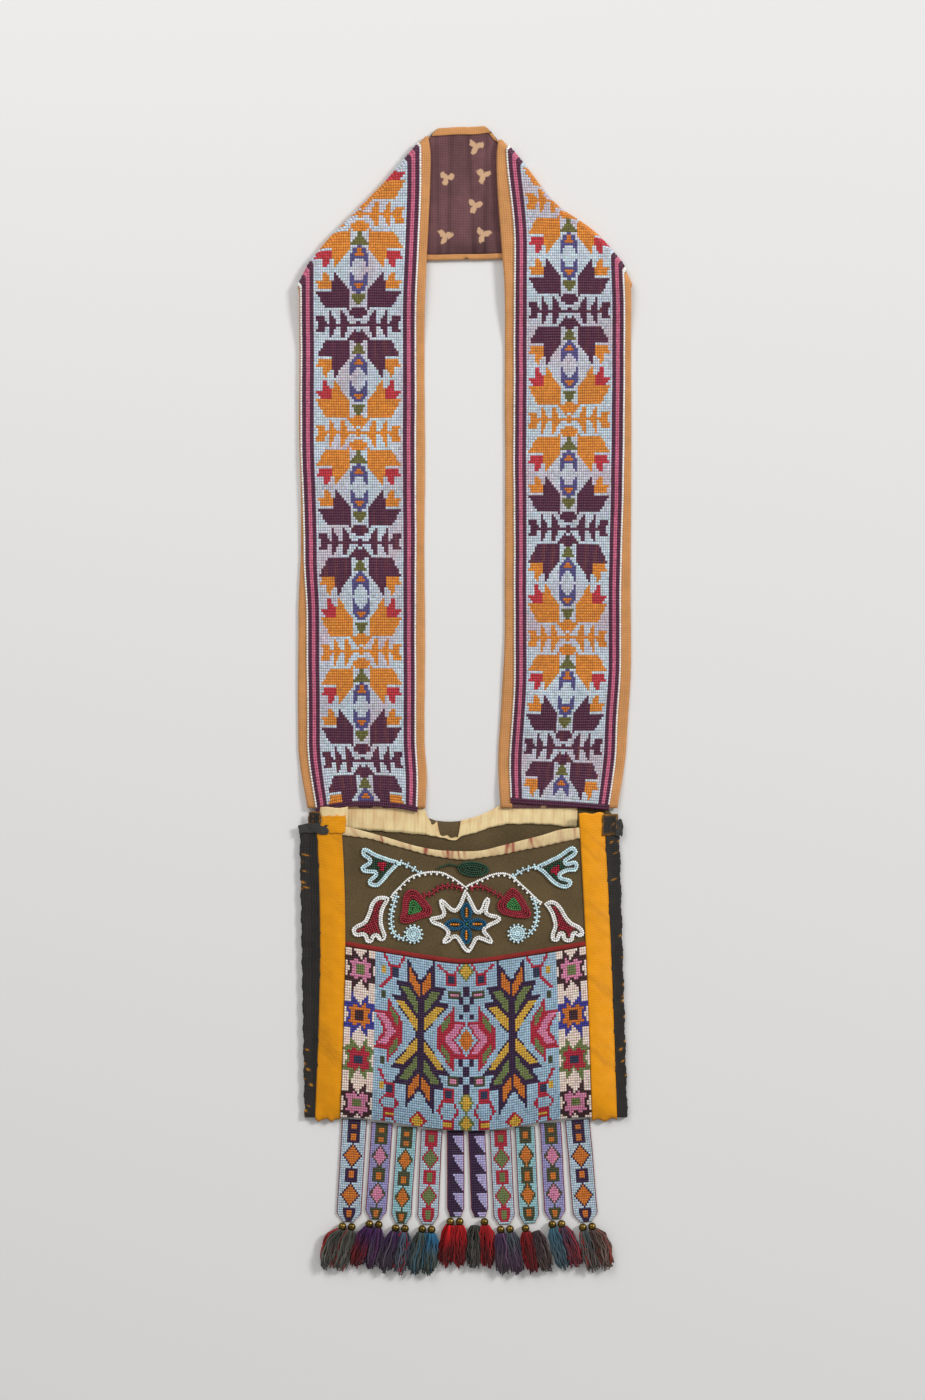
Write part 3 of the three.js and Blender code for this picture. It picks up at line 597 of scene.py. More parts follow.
def new_material(name, settings):
    """A material with a fresh shader, or the one of that name with its nodes made anew."""
    material = bpy.data.materials.get(name) or bpy.data.materials.new(name)
    material.use_nodes = True
    tree = material.node_tree
    tree.nodes.clear()
    shader = add_node(tree, "ShaderNodeBsdfPrincipled", settings)
    add_node(tree, "ShaderNodeOutputMaterial", {}, {"Surface": shader.outputs["BSDF"]})
    return material, tree, shader


def rgba(value):
    """A colour with full alpha."""
    return (*value, 1.0)


def attribute(tree, name, output):
    """A mesh attribute's colour or strength."""
    return add_node(tree, "ShaderNodeAttribute", {"attribute_name": name}).outputs[output]


def object_place(tree):
    """Places in the piece's own metres."""
    return add_node(tree, "ShaderNodeTexCoord").outputs["Object"]


def noise(tree, place, scale, detail, roughness=0.5):
    """A cloudy strength from 0 to 1."""
    settings = {"Scale": scale, "Detail": detail, "Roughness": roughness}
    return add_node(tree, "ShaderNodeTexNoise", settings, {"Vector": place}).outputs["Fac"]


def blend(tree, first, second, share):
    """Two strengths mixed."""
    settings = {"data_type": "FLOAT", 0: share}
    return add_node(tree, "ShaderNodeMix", settings, {2: first, 3: second}).outputs[0]


def spread_range(tree, strength, low, high, least, most):
    """A strength between low and high as one between least and most."""
    settings = {"From Min": low, "From Max": high, "To Min": least, "To Max": most}
    return add_node(tree, "ShaderNodeMapRange", settings, {"Value": strength}).outputs["Result"]


def shaded(tree, shader, strength, dark, light):
    """The shader's colour, from dark to light by the middle part of a strength."""
    settings = {"data_type": "FLOAT_VECTOR", 7: (0.3,) * 3, 8: (0.7,) * 3, 9: dark, 10: light}
    shade = add_node(tree, "ShaderNodeMapRange", settings, {6: strength}).outputs[1]
    tree.links.new(shade, shader.inputs["Base Color"])
    return shade


def raised(tree, shader, height, strength, depth_mm):
    """Bumps too fine to model, such as threads and hairs."""
    settings = {"Strength": strength, "Distance": depth_mm * MM}
    bump = add_node(tree, "ShaderNodeBump", settings, {"Height": height})
    tree.links.new(bump.outputs["Normal"], shader.inputs["Normal"])


def work_out(tree, kind, operation, *values):
    """The outputs of a Math or VectorMath node, fed by numbers and by other nodes' sockets."""
    settings, links = {"operation": operation}, {}
    for place, value in enumerate(values):
        (links if isinstance(value, bpy.types.NodeSocket) else settings)[place] = value
    return add_node(tree, f"ShaderNode{kind}", settings, links).outputs


def glass_beads():
    """Opaque glass seed beads: smooth drawn glass, so each bead takes a small soft highlight, dulled
    here and there by old dirt."""
    dirt_mm = 14.0
    settings = {"IOR": 1.52, "Specular IOR Level": 0.28}
    material, tree, shader = new_material("opaque_glass_seed_beads", settings)
    dirt = noise(tree, object_place(tree), 1 / (dirt_mm * MM), 3.0, 0.6)
    tree.links.new(attribute(tree, "bead_colour", "Color"), shader.inputs["Base Color"])
    tree.links.new(spread_range(tree, dirt, 0.3, 0.7, 0.28, 0.5), shader.inputs["Roughness"])
    return material


# Period of a wave texture whose scale is 1, share of the blotches in a cloth's shade, and gloss of cloth
WAVE_PERIOD = 0.314
BLOTCH_SHARE = 0.6
CLOTH_GLOSS = 0.25

# Woven cloths: thread and its depth in mm, roughness, sheen, contrast of colour, blotch in mm, and the
# share of the thread that runs across
WEAVES = {
    # Plain-woven cotton, soft and matt
    "plum_printed_cotton": (1.4, 0.15, 0.9, 0.05, 0.45, 26.0, 0.5),
    # Cotton tape, matt, with threads that show where the light rakes them
    "tan_cotton_tape": (1.5, 0.2, 0.9, 0.05, 0.25, 18.0, 0.5),
    # Thin silk that gathers in fine upright pleats, with warm darker streaks in narrow upright bands
    "aged_cream_silk": (1.2, 0.15, 0.6, 0.05, 0.14, 8.0, 0.3),
    # The same silk folded over the lip, which has soaked up red from what lay in the mouth
    "marked_cream_silk": (1.2, 0.15, 0.6, 0.05, 0.22, 6.0, 0.3),
    # Braid of thick soft threads that cross, so its face is grainy
    "red_wool_braid": (1.6, 0.4, 0.95, 0.05, 0.3, 7.0, 0.5),
    # Grosgrain silk, which shines a little along its fine cross ribs, with stains and painted shade along
    # its creases
    "yellow_silk_ribbon": (1.3, 0.12, 0.5, 0.02, 0.16, 16.0, 0.85),
    # Black ribbed ribbon, worn through in spots to the yellow under it
    "worn_black_ribbed_ribbon": (1.8, 0.25, 0.8, 0.02, 0.45, 12.0, 0.5),
    # Torn shreds of that ribbon, faded to a dusty grey
    "faded_black_ribbon_shreds": (1.5, 0.3, 0.9, 0.05, 0.5, 6.0, 0.5),
}


def woven(name, base):
    """A woven cloth whose threads run along and across its own map. Threads finer than the picture
    shows are drawn as coarse as it needs."""
    thread_mm, depth_mm, roughness, sheen, contrast, blotch_mm, rib = WEAVES[name]
    settings = {"Roughness": roughness, "Sheen Weight": sheen, "Specular IOR Level": CLOTH_GLOSS}
    material, tree, shader = new_material(name, settings)
    place = add_node(tree, "ShaderNodeUVMap", {"uv_map": "cloth"}).outputs["UV"]
    runs = []
    scale = WAVE_PERIOD / thread_mm
    for way in "XY":
        settings = {"bands_direction": way, "Scale": scale, "Distortion": 0.8, "Detail": 1.0}
        runs.append(add_node(tree, "ShaderNodeTexWave", settings, {"Vector": place}).outputs["Fac"])
    threads = blend(tree, *runs, rib)
    both = blend(tree, threads, noise(tree, place, 1 / blotch_mm, 5.0, 0.65), BLOTCH_SHARE)
    dark = [part * (1 - contrast) for part in base]
    light = [min(part * (1 + contrast), 1.0) for part in base]
    shade = shaded(tree, shader, both, dark, light)
    raised(tree, shader, threads, 0.6, depth_mm)
    return material, tree, shader, place, shade


def overlay(tree, shader, shade, mask, value):
    """A second colour over a cloth's own where mask is 1, and the colours so mixed."""
    mixed = add_node(tree, "ShaderNodeMix", {"data_type": "RGBA", 7: rgba(value)}, {0: mask, 6: shade})
    tree.links.new(mixed.outputs[2], shader.inputs["Base Color"])
    return mixed.outputs[2]


def stained_and_shaded(name, base, mark):
    """A woven cloth with a second colour where its stains are, which on the yellow ribbon include painted
    shade in its creases.
    """
    material, tree, shader, _, shade = woven(name, base)
    overlay(tree, shader, shade, attribute(tree, "stain", "Fac"), mark)
    return material


# The lining's two sets of sprigs: their repeats across and along the strap, and a first sprig's place, in mm
SPRIG_SETS = (((50.6, 62.0), (40.7, 5.1)), ((50.6, 31.5), (15.3, 13.2)))


def printed_cotton(cloth):
    """Plain-woven cotton, printed with small cream sprigs in a repeat, with painted shade in its creases and
    a darker edge and patches.
    """
    base = tuple(cloth.plum_cotton)
    material, tree, shader, place, shade = woven("plum_printed_cotton", base)
    depths = []
    for repeat, first in SPRIG_SETS:
        start = (-first[0] / repeat[0], -(STRAP_HALF_LENGTH + first[1]) / repeat[1], 0.0)
        settings = {"Scale": (1 / repeat[0], 1 / repeat[1], 0.0), "Location": start}
        cell = add_node(tree, "ShaderNodeMapping", settings, {"Vector": place}).outputs["Vector"]
        settings = {"voronoi_dimensions": "2D", "Scale": 1.0, "Randomness": 0.06}
        sprig = add_node(tree, "ShaderNodeTexVoronoi", settings, {"Vector": cell}).outputs["Position"]
        apart = work_out(tree, "VectorMath", "SUBTRACT", cell, sprig)["Vector"]
        arm = work_out(tree, "VectorMath", "MULTIPLY", apart, (*repeat, 0.0))["Vector"]
        far = work_out(tree, "VectorMath", "LENGTH", arm)["Value"]
        parts = add_node(tree, "ShaderNodeSeparateXYZ", {}, {"Vector": arm}).outputs
        angle = work_out(tree, "Math", "ARCTAN2", parts["X"], parts["Y"])[0]
        # Three leaves to a sprig, of uneven length
        leaves = work_out(tree, "Math", "MULTIPLY_ADD", angle, 3.0, 0.9)[0]
        swing = work_out(tree, "Math", "SINE", leaves)[0]
        mean = work_out(tree, "Math", "MULTIPLY_ADD", noise(tree, place, 0.3, 2.0), 6.0, 2.1)[0]
        rim = work_out(tree, "Math", "MULTIPLY_ADD", swing, 2.2, mean)[0]
        depths.append(work_out(tree, "Math", "SUBTRACT", rim, far)[0])
    deepest = work_out(tree, "Math", "MAXIMUM", *depths)[0]
    mask = spread_range(tree, deepest, -0.3, 0.9, 0.0, 0.8)
    # Painted shade in the creases, with the darker edge strip and patches, carried by the stain attribute
    creased = overlay(tree, shader, shade, attribute(tree, "stain", "Fac"), [0.3 * part for part in base])
    overlay(tree, shader, creased, mask, cloth.print_cream)
    return material


def wool_cloth(cloth):
    """Fulled wool: the weave is felted over, so fine hairs catch light and the colour is mottled."""
    base = tuple(cloth.wool)
    fibre_mm, patch_mm, hair_mm = 1.6, 30.0, 0.4
    settings = {"Roughness": 0.95, "Sheen Weight": 0.06, "Specular IOR Level": CLOTH_GLOSS}
    material, tree, shader = new_material("fulled_olive_wool", settings)
    place = object_place(tree)
    fibre = noise(tree, place, 1 / (fibre_mm * MM), 4.0, 0.7)
    both = blend(tree, fibre, noise(tree, place, 1 / (patch_mm * MM), 3.0), 0.4)
    shaded(tree, shader, both, [0.6 * part for part in base], [1.4 * part for part in base])
    raised(tree, shader, fibre, 0.5, hair_mm)
    return material


def wool_yarn():
    """Loose wool yarn: matt, with a soft halo of hairs."""
    settings = {"Roughness": 0.9, "Sheen Weight": 0.08, "Specular IOR Level": CLOTH_GLOSS}
    material, tree, shader = new_material("loose_wool_yarn", settings)
    tree.links.new(attribute(tree, "yarn_colour", "Color"), shader.inputs["Base Color"])
    return material


def old_brass(cloth):
    """Turned brass beads: polished, and darkened with age."""
    base = tuple(cloth.brass)
    tarnish_mm = 4.0
    material, tree, shader = new_material("aged_brass", {"Metallic": 1.0, "Roughness": 0.32})
    tarnish = noise(tree, object_place(tree), 1 / (tarnish_mm * MM), 3.0)
    shaded(tree, shader, tarnish, [0.35 * part for part in base], base)
    return material


# Strap

STRAP_COLUMNS = 54
BEAD_UNDERSIDE = 2.4
STAR_PERIOD = 40.5
FIRST_STAR = {-1: 17.8, 1: 22.8}
BORDER_FROM = 20
BORDER_BEAD = 6 / 7
STRAP_SPREAD = 2 * (BORDER_FROM + (STRAP_COLUMNS / 2 - BORDER_FROM) * BORDER_BEAD)
BORDER_STRIPES = ((0, 2, "plum"), (2, 4, "pink"), (4, 6, "plum"), (6, 7, "white"))

# Edges of the beads, and the edges that the bindings turn round, in mm from the strap's middle line along
# its length from the seam: start and steps, for drift. The left half is rolled outwards.
BEADS_OUTER = {
    -1: (-49.0, (-0.8, 60, 130), (-2.4, 165, 215), (-2.6, 215, 320)),
    1: (-42.0, (-3.4, 50, 130), (-3.6, 150, 330), (1.6, 425, 470)),
}
BEADS_INNER = {-1: (46.4, (-2.8, 20, 60), (4.6, 400, 550)), 1: (49.8, (-4.2, 20, 110), (6.7, 480, 565))}
BINDING_OUTER = {
    -1: (56.4, (-2.6, 165, 225), (1.6, 225, 320), (-0.2, 490, 540)),
    1: (50.0, (4.0, 40, 130), (-1.0, 425, 470), (2.2, 490, 540)),
}
BINDING_INNER = {-1: (53.4, (-2.8, 20, 60), (5.4, 410, 555)), 1: (59.2, (-6.5, 15, 165), (7.3, 410, 555))}
CROSS_RUN_INNER = 57.4
CROSS_RUN_FROM = (588, 612)

# Heights of a binding's two halves, its width, and the part of it on the underside, which gets narrower
# over the fold: a step, for drift. On top it ends just inside the beads' edge.
TAPE_LOW = 0.7
TAPE_HIGH = 2.6
TAPE_WIDTH = 17.0
TAPE_UNDER = 7.2
TAPE_NARROWS = {1: (-1.6, 545, 585), -1: (-3.6, 545, 585)}
TAPE_LAP = 0.4
TAPE_LEAST = 0.5

# Bindings sewn by hand: how far they wander, how much more the outer one does over the fold, and how far
# the inner one is drawn in at the fold, with that place and its width
BINDING_WANDERS = 0.35
OUTER_RUFFLE = (2, 540, 580)
INNER_PINCH = 2.2
INNER_PINCH_AT = (571, 10)

# Lower ends of the strap's halves, sewn by eye: height over the seam, and how it changes across about half
# the width, the left one falling to both edges and the right one rising towards the loop
LEFT_END = (1.7, -6.0, 48)
RIGHT_END = (1.3, 3.4, 47)

# How far the beads wander across and along the strap. The slope of its sewn end evens out over the first
# length, and the rows get straight over the second, where the halves meet.
BEADS_WANDER = 0.4
ROWS_WANDER = 0.7
SEWN_LENGTH = 60
HELD_LENGTH = 40

# Lining: how far inside the outer and the inner binding's edge it ends, its height, its folded creases with
# their width, and the places and leans of the creases where shade is painted, from the middle of the cross
# run
LINING_OUTER = 3.5
LINING_INNER = 1.5
LINING_HEIGHT = 1.35
CREASE_DEPTH = 0.35
FOLDED_CREASES = ((-11.9, 2.0), (6.0, 2.0))
PAINTED_SHADE_CREASES = ((-13.5, 3.0), (4.5, -5.0), (17, 2.0), (-24, -3.0))
PAINTED_SHADE_CREASE_WIDTH = 1.8

# One quarter of a star in beads from its middle, mirrored both ways; later shapes cover earlier ones
STRAP_MOTIF = (
    ("star", [(11.4, 20.5), (4.3, 12.6), (4.2, 6), (14.8, 6), (19.1, 12.3), (11.6, 12.3)]),
    ("star", [(4.2, 6.5), (5.2, 5.9), (3.6, 3.4), (2.7, 4.2)]),
    ("star", [(0, 6.6), (1.3, 6.4), (4.0, 5.2), (4.2, 4.4), (2.6, 3.2), (1.5, 2.0), (1.5, 0), (0, 0)]),
    ("star", [(0, -0.6), (14, -0.6), (14, 0.6), (0, 0.6)]),
    ("star", [(3.8, -0.5), (6.6, 4.8), (7.6, 4.8), (7.6, -0.5)]),
    ("star", [(9.2, -0.5), (12.2, 4.8), (13.2, 4.8), (13.2, -0.5)]),
    ("star", [(13.8, -0.5), (15.2, 2.9), (19.0, 2.9), (17.6, -0.5)]),
    ("sky", [(0, 1.3), (1.1, 1.3), (1.1, 2.4), (0, 2.4)]),
    ("moss", [(0, 6.6), (0.4, 6.6), (3.6, 10.9), (0, 10.9)]),
    (
        "violet",
        [(0, 11), (2.2, 12.2), (4.3, 14.8), (4.5, 17.4), (3.8, 19.3), (3, 19.3), (2.3, 17.2), (0, 15.6)],
    ),
    ("amber", [(0, 12.8), (0.9, 12.8), (2.1, 14.9), (0, 14.9)]),
    ("leaf", [(15.3, 20.5), (12.3, 16.2), (12.3, 13.1), (17.4, 13.1), (18.9, 15.9), (16, 16.2)]),
)


def strap_bead_colours(colours, rows, first_star, seed):
    """The strap's pattern: stars by turns plum and orange on a pale ground, between striped borders."""
    column, row = bead_grid(STRAP_COLUMNS, rows, 0)
    star = np.round((row - first_star) / STAR_PERIOD)
    x = np.abs(column)
    y = np.abs(row - first_star - star * STAR_PERIOD)
    plum_star = star % 2 == 0
    lilac = 0.5 + 0.5 * waver(column * 0.22, row * 0.12, seed)
    found = mix(np.array(colours.sky), np.array(colours.lilac), lilac[:, None] ** 2)
    worn = patches(column * 1.9, row * 0.11, seed + 1) * patches(column * 0.1, row * 0.09, seed + 2)
    plum = mix(np.array(colours.plum), np.array(colours.worn), 0.8 * worn[:, None])
    for key, polygon in STRAP_MOTIF:
        spot = inside(polygon, x, y)
        if key == "star":
            found[spot & plum_star] = plum[spot & plum_star]
            found[spot & ~plum_star] = colours.orange
        elif key == "leaf":
            found[spot & plum_star] = colours.orange
            found[spot & ~plum_star] = colours.red
        else:
            found[spot] = getattr(colours, key)
    for low, high, key in BORDER_STRIPES:
        found[(x > BORDER_FROM + low) & (x < BORDER_FROM + high)] = getattr(colours, key)
    found[row < 2] = colours.plum
    return found


def bead_edges(side, along):
    """The outer and the inner edge of the beads, across the strap."""
    return drift(along, *BEADS_OUTER[side]), drift(along, *BEADS_INNER[side])


def strap_start(side, across):
    """How far the strap's lower end, sewn by eye, lies above its seam line."""
    height, change, half_width = LEFT_END if side < 0 else RIGHT_END
    share = across / half_width
    return height + change * (share ** 2 if side < 0 else share)


def binding_edge(side, sign, along):
    """How far from the strap's middle line the edge lies that a binding turns round."""
    middle = ease(along, *CROSS_RUN_FROM)
    wobble = BINDING_WANDERS * waver(along * 0.05, 0, 5 + sign + 3 * side) * (1 - middle)
    if sign > 0:
        edge = drift(along, *BINDING_INNER[side]) - INNER_PINCH * hump(along, *INNER_PINCH_AT)
        return mix(edge, CROSS_RUN_INNER, middle) + wobble
    return drift(along, *BINDING_OUTER[side]) + wobble * drift(along, 1, OUTER_RUFFLE)


def strap_binding(side, sign, share, along, out):
    """A tape folded round the strap's edge: sign is 1 at the loop and -1 at the outside."""
    bend = (TAPE_HIGH - TAPE_LOW) / 2
    arc = math.pi * bend
    edge = binding_edge(side, sign, along)
    lower = drift(along, TAPE_UNDER, TAPE_NARROWS[sign])
    outer, inner = bead_edges(side, along)
    upper = np.maximum(edge - (inner if sign > 0 else -outer) + TAPE_LAP, TAPE_LEAST)
    place = share * (lower + arc + upper)
    turn = np.clip((place - lower) / bend, 0, math.pi)
    past = np.maximum(place - lower - arc, 0)
    before = np.maximum(lower - place, 0)
    reach = edge - bend + (bend + out) * np.sin(turn) - before - past
    height = (TAPE_LOW + TAPE_HIGH) / 2 - (bend + out) * np.cos(turn)
    return on_strap(side, sign * reach, along, height)


def on_whole_strap(share, place):
    """Points laid along the left half of the strap, then back along the right half."""
    run = share * 2 * STRAP_HALF_LENGTH
    right = run > STRAP_HALF_LENGTH
    along = np.where(right, 2 * STRAP_HALF_LENGTH - run, run)
    return np.where(right[:, None], place(1, along), place(-1, along))


class BAG_OT_strap_beads(Operator):
    """Weaves the two halves of the strap from glass beads"""

    bl_idname = "bandolier.strap_beads"
    bl_label = "Strap beads"

    def execute(self, context):
        colours = context.scene.bag_beads
        rows = int(STRAP_HALF_LENGTH / (context.scene.bag_sizes.strap_row / MM))
        material = glass_beads()
        for side, word in SIDES:
            pattern = strap_bead_colours(colours, rows, FIRST_STAR[side], 11 + side)

            def place(column, row, height):
                along = row * STRAP_HALF_LENGTH / rows
                outer, inner = bead_edges(side, along)
                from_middle = column - STRAP_COLUMNS / 2
                past_field = np.maximum(np.abs(from_middle) - BORDER_FROM, 0)
                spread = from_middle - np.sign(from_middle) * past_field * (1 - BORDER_BEAD)
                share = 0.5 + spread / STRAP_SPREAD
                across = mix(outer, inner, share if side < 0 else 1 - share)
                across = across + BEADS_WANDER * waver(along * 0.03, across * 0.01, 21 + side)
                loose = ease(STRAP_HALF_LENGTH - along, 0, HELD_LENGTH)
                along = along + ROWS_WANDER * loose * waver(across * 0.05, along * 0.02, 31 + side)
                along = along + strap_start(side, across) * (1 - ease(along, 0, SEWN_LENGTH))
                return on_strap(side, across, along, BEAD_UNDERSIDE + height)

            mesh, points = weave_beads(
                f"strap_beads_{word}", STRAP_COLUMNS, rows, dyed(pattern, STRAP_COLUMNS, rows, 41 + side),
                place, tuple(colours.thread), 51 + side, strips=3,
            )
            nodes = ("strap_beadwork",) if side < 0 else ()
            add_piece(mesh, points, material, nodes)
        return {"FINISHED"}


class BAG_OT_strap_cloth(Operator):
    """Lays the strap's printed lining and its two tan bindings"""

    bl_idname = "bandolier.strap_cloth"
    bl_label = "Strap lining and bindings"

    def execute(self, context):
        cloth = context.scene.bag_cloth
        long = 2 * STRAP_HALF_LENGTH

        def lining(share, run, height):
            def place(side, along):
                outer = LINING_OUTER - binding_edge(side, -1, along)
                inner = binding_edge(side, 1, along) - LINING_INNER
                middle = side * (along - STRAP_HALF_LENGTH)
                creased = sum(hump(middle, *crease) for crease in FOLDED_CREASES)
                out = LINING_HEIGHT + height - CREASE_DEPTH * creased
                return on_strap(side, mix(outer, inner, share), along, out)

            return on_whole_strap(run, place)

        def creases(share, run):
            # Darker by the outer edge in the middle of the cross run, painted shade along the creases, and
            # soft darker patches
            middle = (run - 0.5) * long
            found = 0.4 * (1 - ease(share, 0.04, 0.16)) * (np.abs(middle) < 80)
            for place, lean in PAINTED_SHADE_CREASES:
                found = found + 0.4 * hump(middle, place + lean * (share - 0.5), PAINTED_SHADE_CREASE_WIDTH)
            return found + 0.3 * patches(middle * 0.07, share * 4, 6)

        mesh, points = lay_cloth("strap_lining_cotton", 32, 620, 0.5, (STRAP_WIDTH, long), lining, creases)
        piece = add_piece(mesh, points, printed_cotton(cloth), ("strap_lining",))

        tape = woven("tan_cotton_tape", cloth.tan)[0]
        for sign, word in ((1, "inner"), (-1, "outer")):
            def binding(share, run, height):
                def place(side, along):
                    return strap_binding(side, sign, share, along, height - 0.2)

                return on_whole_strap(run, place)

            mesh, points = lay_cloth(f"strap_{word}_binding_tape", 14, 420, 0.4, (TAPE_WIDTH, long), binding)
            piece = add_piece(mesh, points, tape, (f"strap_{word}_binding",))
        return {"FINISHED"}


# Pouch

# Edges at the mouth, sewn by eye: sideways place and height from the seam
FACING_HEM = [
    (-103, -17.9), (-81, -19.1), (-56, -21), (-30, -23.4), (-20, -25.5), (-10, -27.2), (-4, -24.4),
    (12, -19.6), (25.5, -15.3), (39, -13.6), (63, -13.6), (80, -15.3), (95, -17),
]
LIP_TOP = [
    (-103, -15.3), (-86, -19.6), (-69, -24.7), (-52, -29.8), (-35, -33.7), (-18, -36), (8, -36),
    (29, -31.5), (46, -27.2), (63, -23), (80, -17.9), (95, -16.2),
]
LIP_HEM = [
    (-103, -23), (-86, -25.5), (-69, -29.8), (-52, -34.9), (-35, -39.1), (-18, -42.5), (-1, -43.4),
    (12, -41.7), (29, -39.1), (46, -35.7), (63, -32.3), (80, -28.9), (95, -25.2),
]
LIP_MARKS = (-73, -49.5, -36.5, -21, -17.6, -14, -8.2, -3.4, 33, 36, 38.5, 53, 55, 92)
SCALLOP = 6.2

# Where the facing is torn away, down to a strip over its hem, and where its top is frayed: the sideways
# places between which that begins, and between which it ends
FACING_TEAR = ((-25, -22), (-7, -4))
FACING_FRAYED = ((-41, -36), (-24, -20))
FRAY_DEPTH = 4.5
TEAR_LEFT = 2.2

# Heights at which the sideways places of the facing and of the lip are taken
FACING_LEVEL = -12.0
LIP_LEVEL = -30.0

# Shares of the field's half width that the facing and the cloths sewn across the front take up
FACING_SHARE = 0.99
SEWN_SHARE = 0.998

# Lowest point of the back's edge between the straps and how fast it curves up from there
BACK_DIP = (-14.5, -11.6)
BACK_CURVE = 0.0072

# Height of the red braid's upper edge at the ribbons, how much lower it hangs in the middle, its width, and
# the room that the loom panel leaves for it
BRAID_TOP = -112.2
BRAID_HANGS = 15.0
BRAID_WIDTH = 3.8
BRAID_ROOM = 4.3


# Height of the wool where the left corner is worn away, and where across the pouch that begins
WORN_CORNER = -16.0
WORN_FROM = (2.2, 2.45)

# Tops of the ribbons and of the edgings
RIBBON_TOP = {-1: -18.5, 1: -4.0}
EDGING_START = {-1: -17.5, 1: -22.0}

# Spots where an edging is worn through
FLECKS = 15

# Share of an edging's width that lies on top, before it turns down over the side
EDGING_TURN = 0.8

# Width of the cloth that the side seams take up at each side
TURNED_IN = 1.1

# Worn ends at the pouch's upper corners: place across and down, height over the wool, and raggedness
CORNER_SCRAPS = (
    ("left_facing_end", "cream", (-123.5, -100), (-16, 1.0), -1.6, 0.8),
    ("left_ribbon_scrap", "yellow", (-123, -102.5), (-20.5, -6), 0.75, 1.5),
    ("left_edging_end", "black", (-134, -123.5), (-14, -3), 0.3, 0.7),
    ("left_edging_shred", "rag", (-142, -117), (-21.5, -13.4), 1.0, 1.3),
    ("right_edging_end", "black", (115.6, 128.4), (-23, -4.8), 0.6, 0.7),
    ("right_edging_shred", "rag", (126.8, 133), (-24, -9.4), 1.0, 0.9),
)


def profile(points, x):
    """Height of a smooth edge through the points."""
    path = smooth_path(points, False)
    return np.interp(x, path[:, 0], path[:, 1])


def beneath_straps(x):
    """1 where the mouth lies beneath a strap and 0 between the straps and beside them."""
    loop_edge = LOOP_GAP_AT_POUCH / 2
    outside = loop_edge + STRAP_END_WIDTH - 6
    return between(np.abs(x), (loop_edge - 2, loop_edge + 5), (outside - 8, outside))


def back_top(x):
    """The back's top edge: it laps under the straps and dips between them."""
    dip = BACK_DIP[1] + BACK_CURVE * (x - BACK_DIP[0]) ** 2
    beside = np.where(np.abs(x) > LOOP_GAP_AT_POUCH, -CORNER_DROP, dip)
    return mix(beside, STRAP_LAP - 2, beneath_straps(x))


def corner_top(u, top):
    """The wool's top edge, lower at the left, where the corner is worn away."""
    return mix(top, WORN_CORNER, ease(-u, *WORN_FROM))


def tape_at(u):
    """Height of the red braid's upper edge."""
    return BRAID_TOP - BRAID_HANGS * drape(u)


class BAG_OT_pouch_wool(Operator):
    """Cuts the wool back and the wool front of the pouch"""

    bl_idname = "bandolier.pouch_wool"
    bl_label = "Pouch wool"

    def execute(self, context):
        wool = wool_cloth(context.scene.bag_cloth)
        kept = 1 - TURNED_IN / POUCH_TOP

        def back(share, run, height):
            u = (share - 0.5) * 6
            y = mix(bottom_at(u), corner_top(u, back_top(across_pouch(u, 0.0) + POUCH_LEAN)), run)
            x = across_pouch(u, y) * kept + lean_at(y)
            return in_frame(x, y, 0.05 + height)

        mesh, points = lay_cloth("pouch_back", 90, 24, 1.45, (2 * POUCH_TOP, POUCH_HEIGHT), back)
        piece = add_piece(mesh, points, wool, ("back_panel",))

        def front(share, run, height):
            u = (share - 0.5) * 6
            lip = profile(LIP_TOP, across_pouch(u, -25.0) + POUCH_LEAN) - 0.8
            beside = np.where(u < 0, WORN_CORNER, -CORNER_DROP)
            y = mix(bottom_at(u), np.where(np.abs(u) > 1, beside, lip), run)
            x = across_pouch(u, y) * kept + lean_at(y)
            swell = 0.12 * waver(x * 0.09, y * 0.07, 3)
            return in_frame(x, y, front_underside(u, y) + 0.25 + swell + height)

        mesh, points = lay_cloth("pouch_front", 90, 64, 1.1, (2 * POUCH_TOP, POUCH_HEIGHT), front)
        piece = add_piece(mesh, points, wool, ("front_panel",))
        return {"FINISHED"}


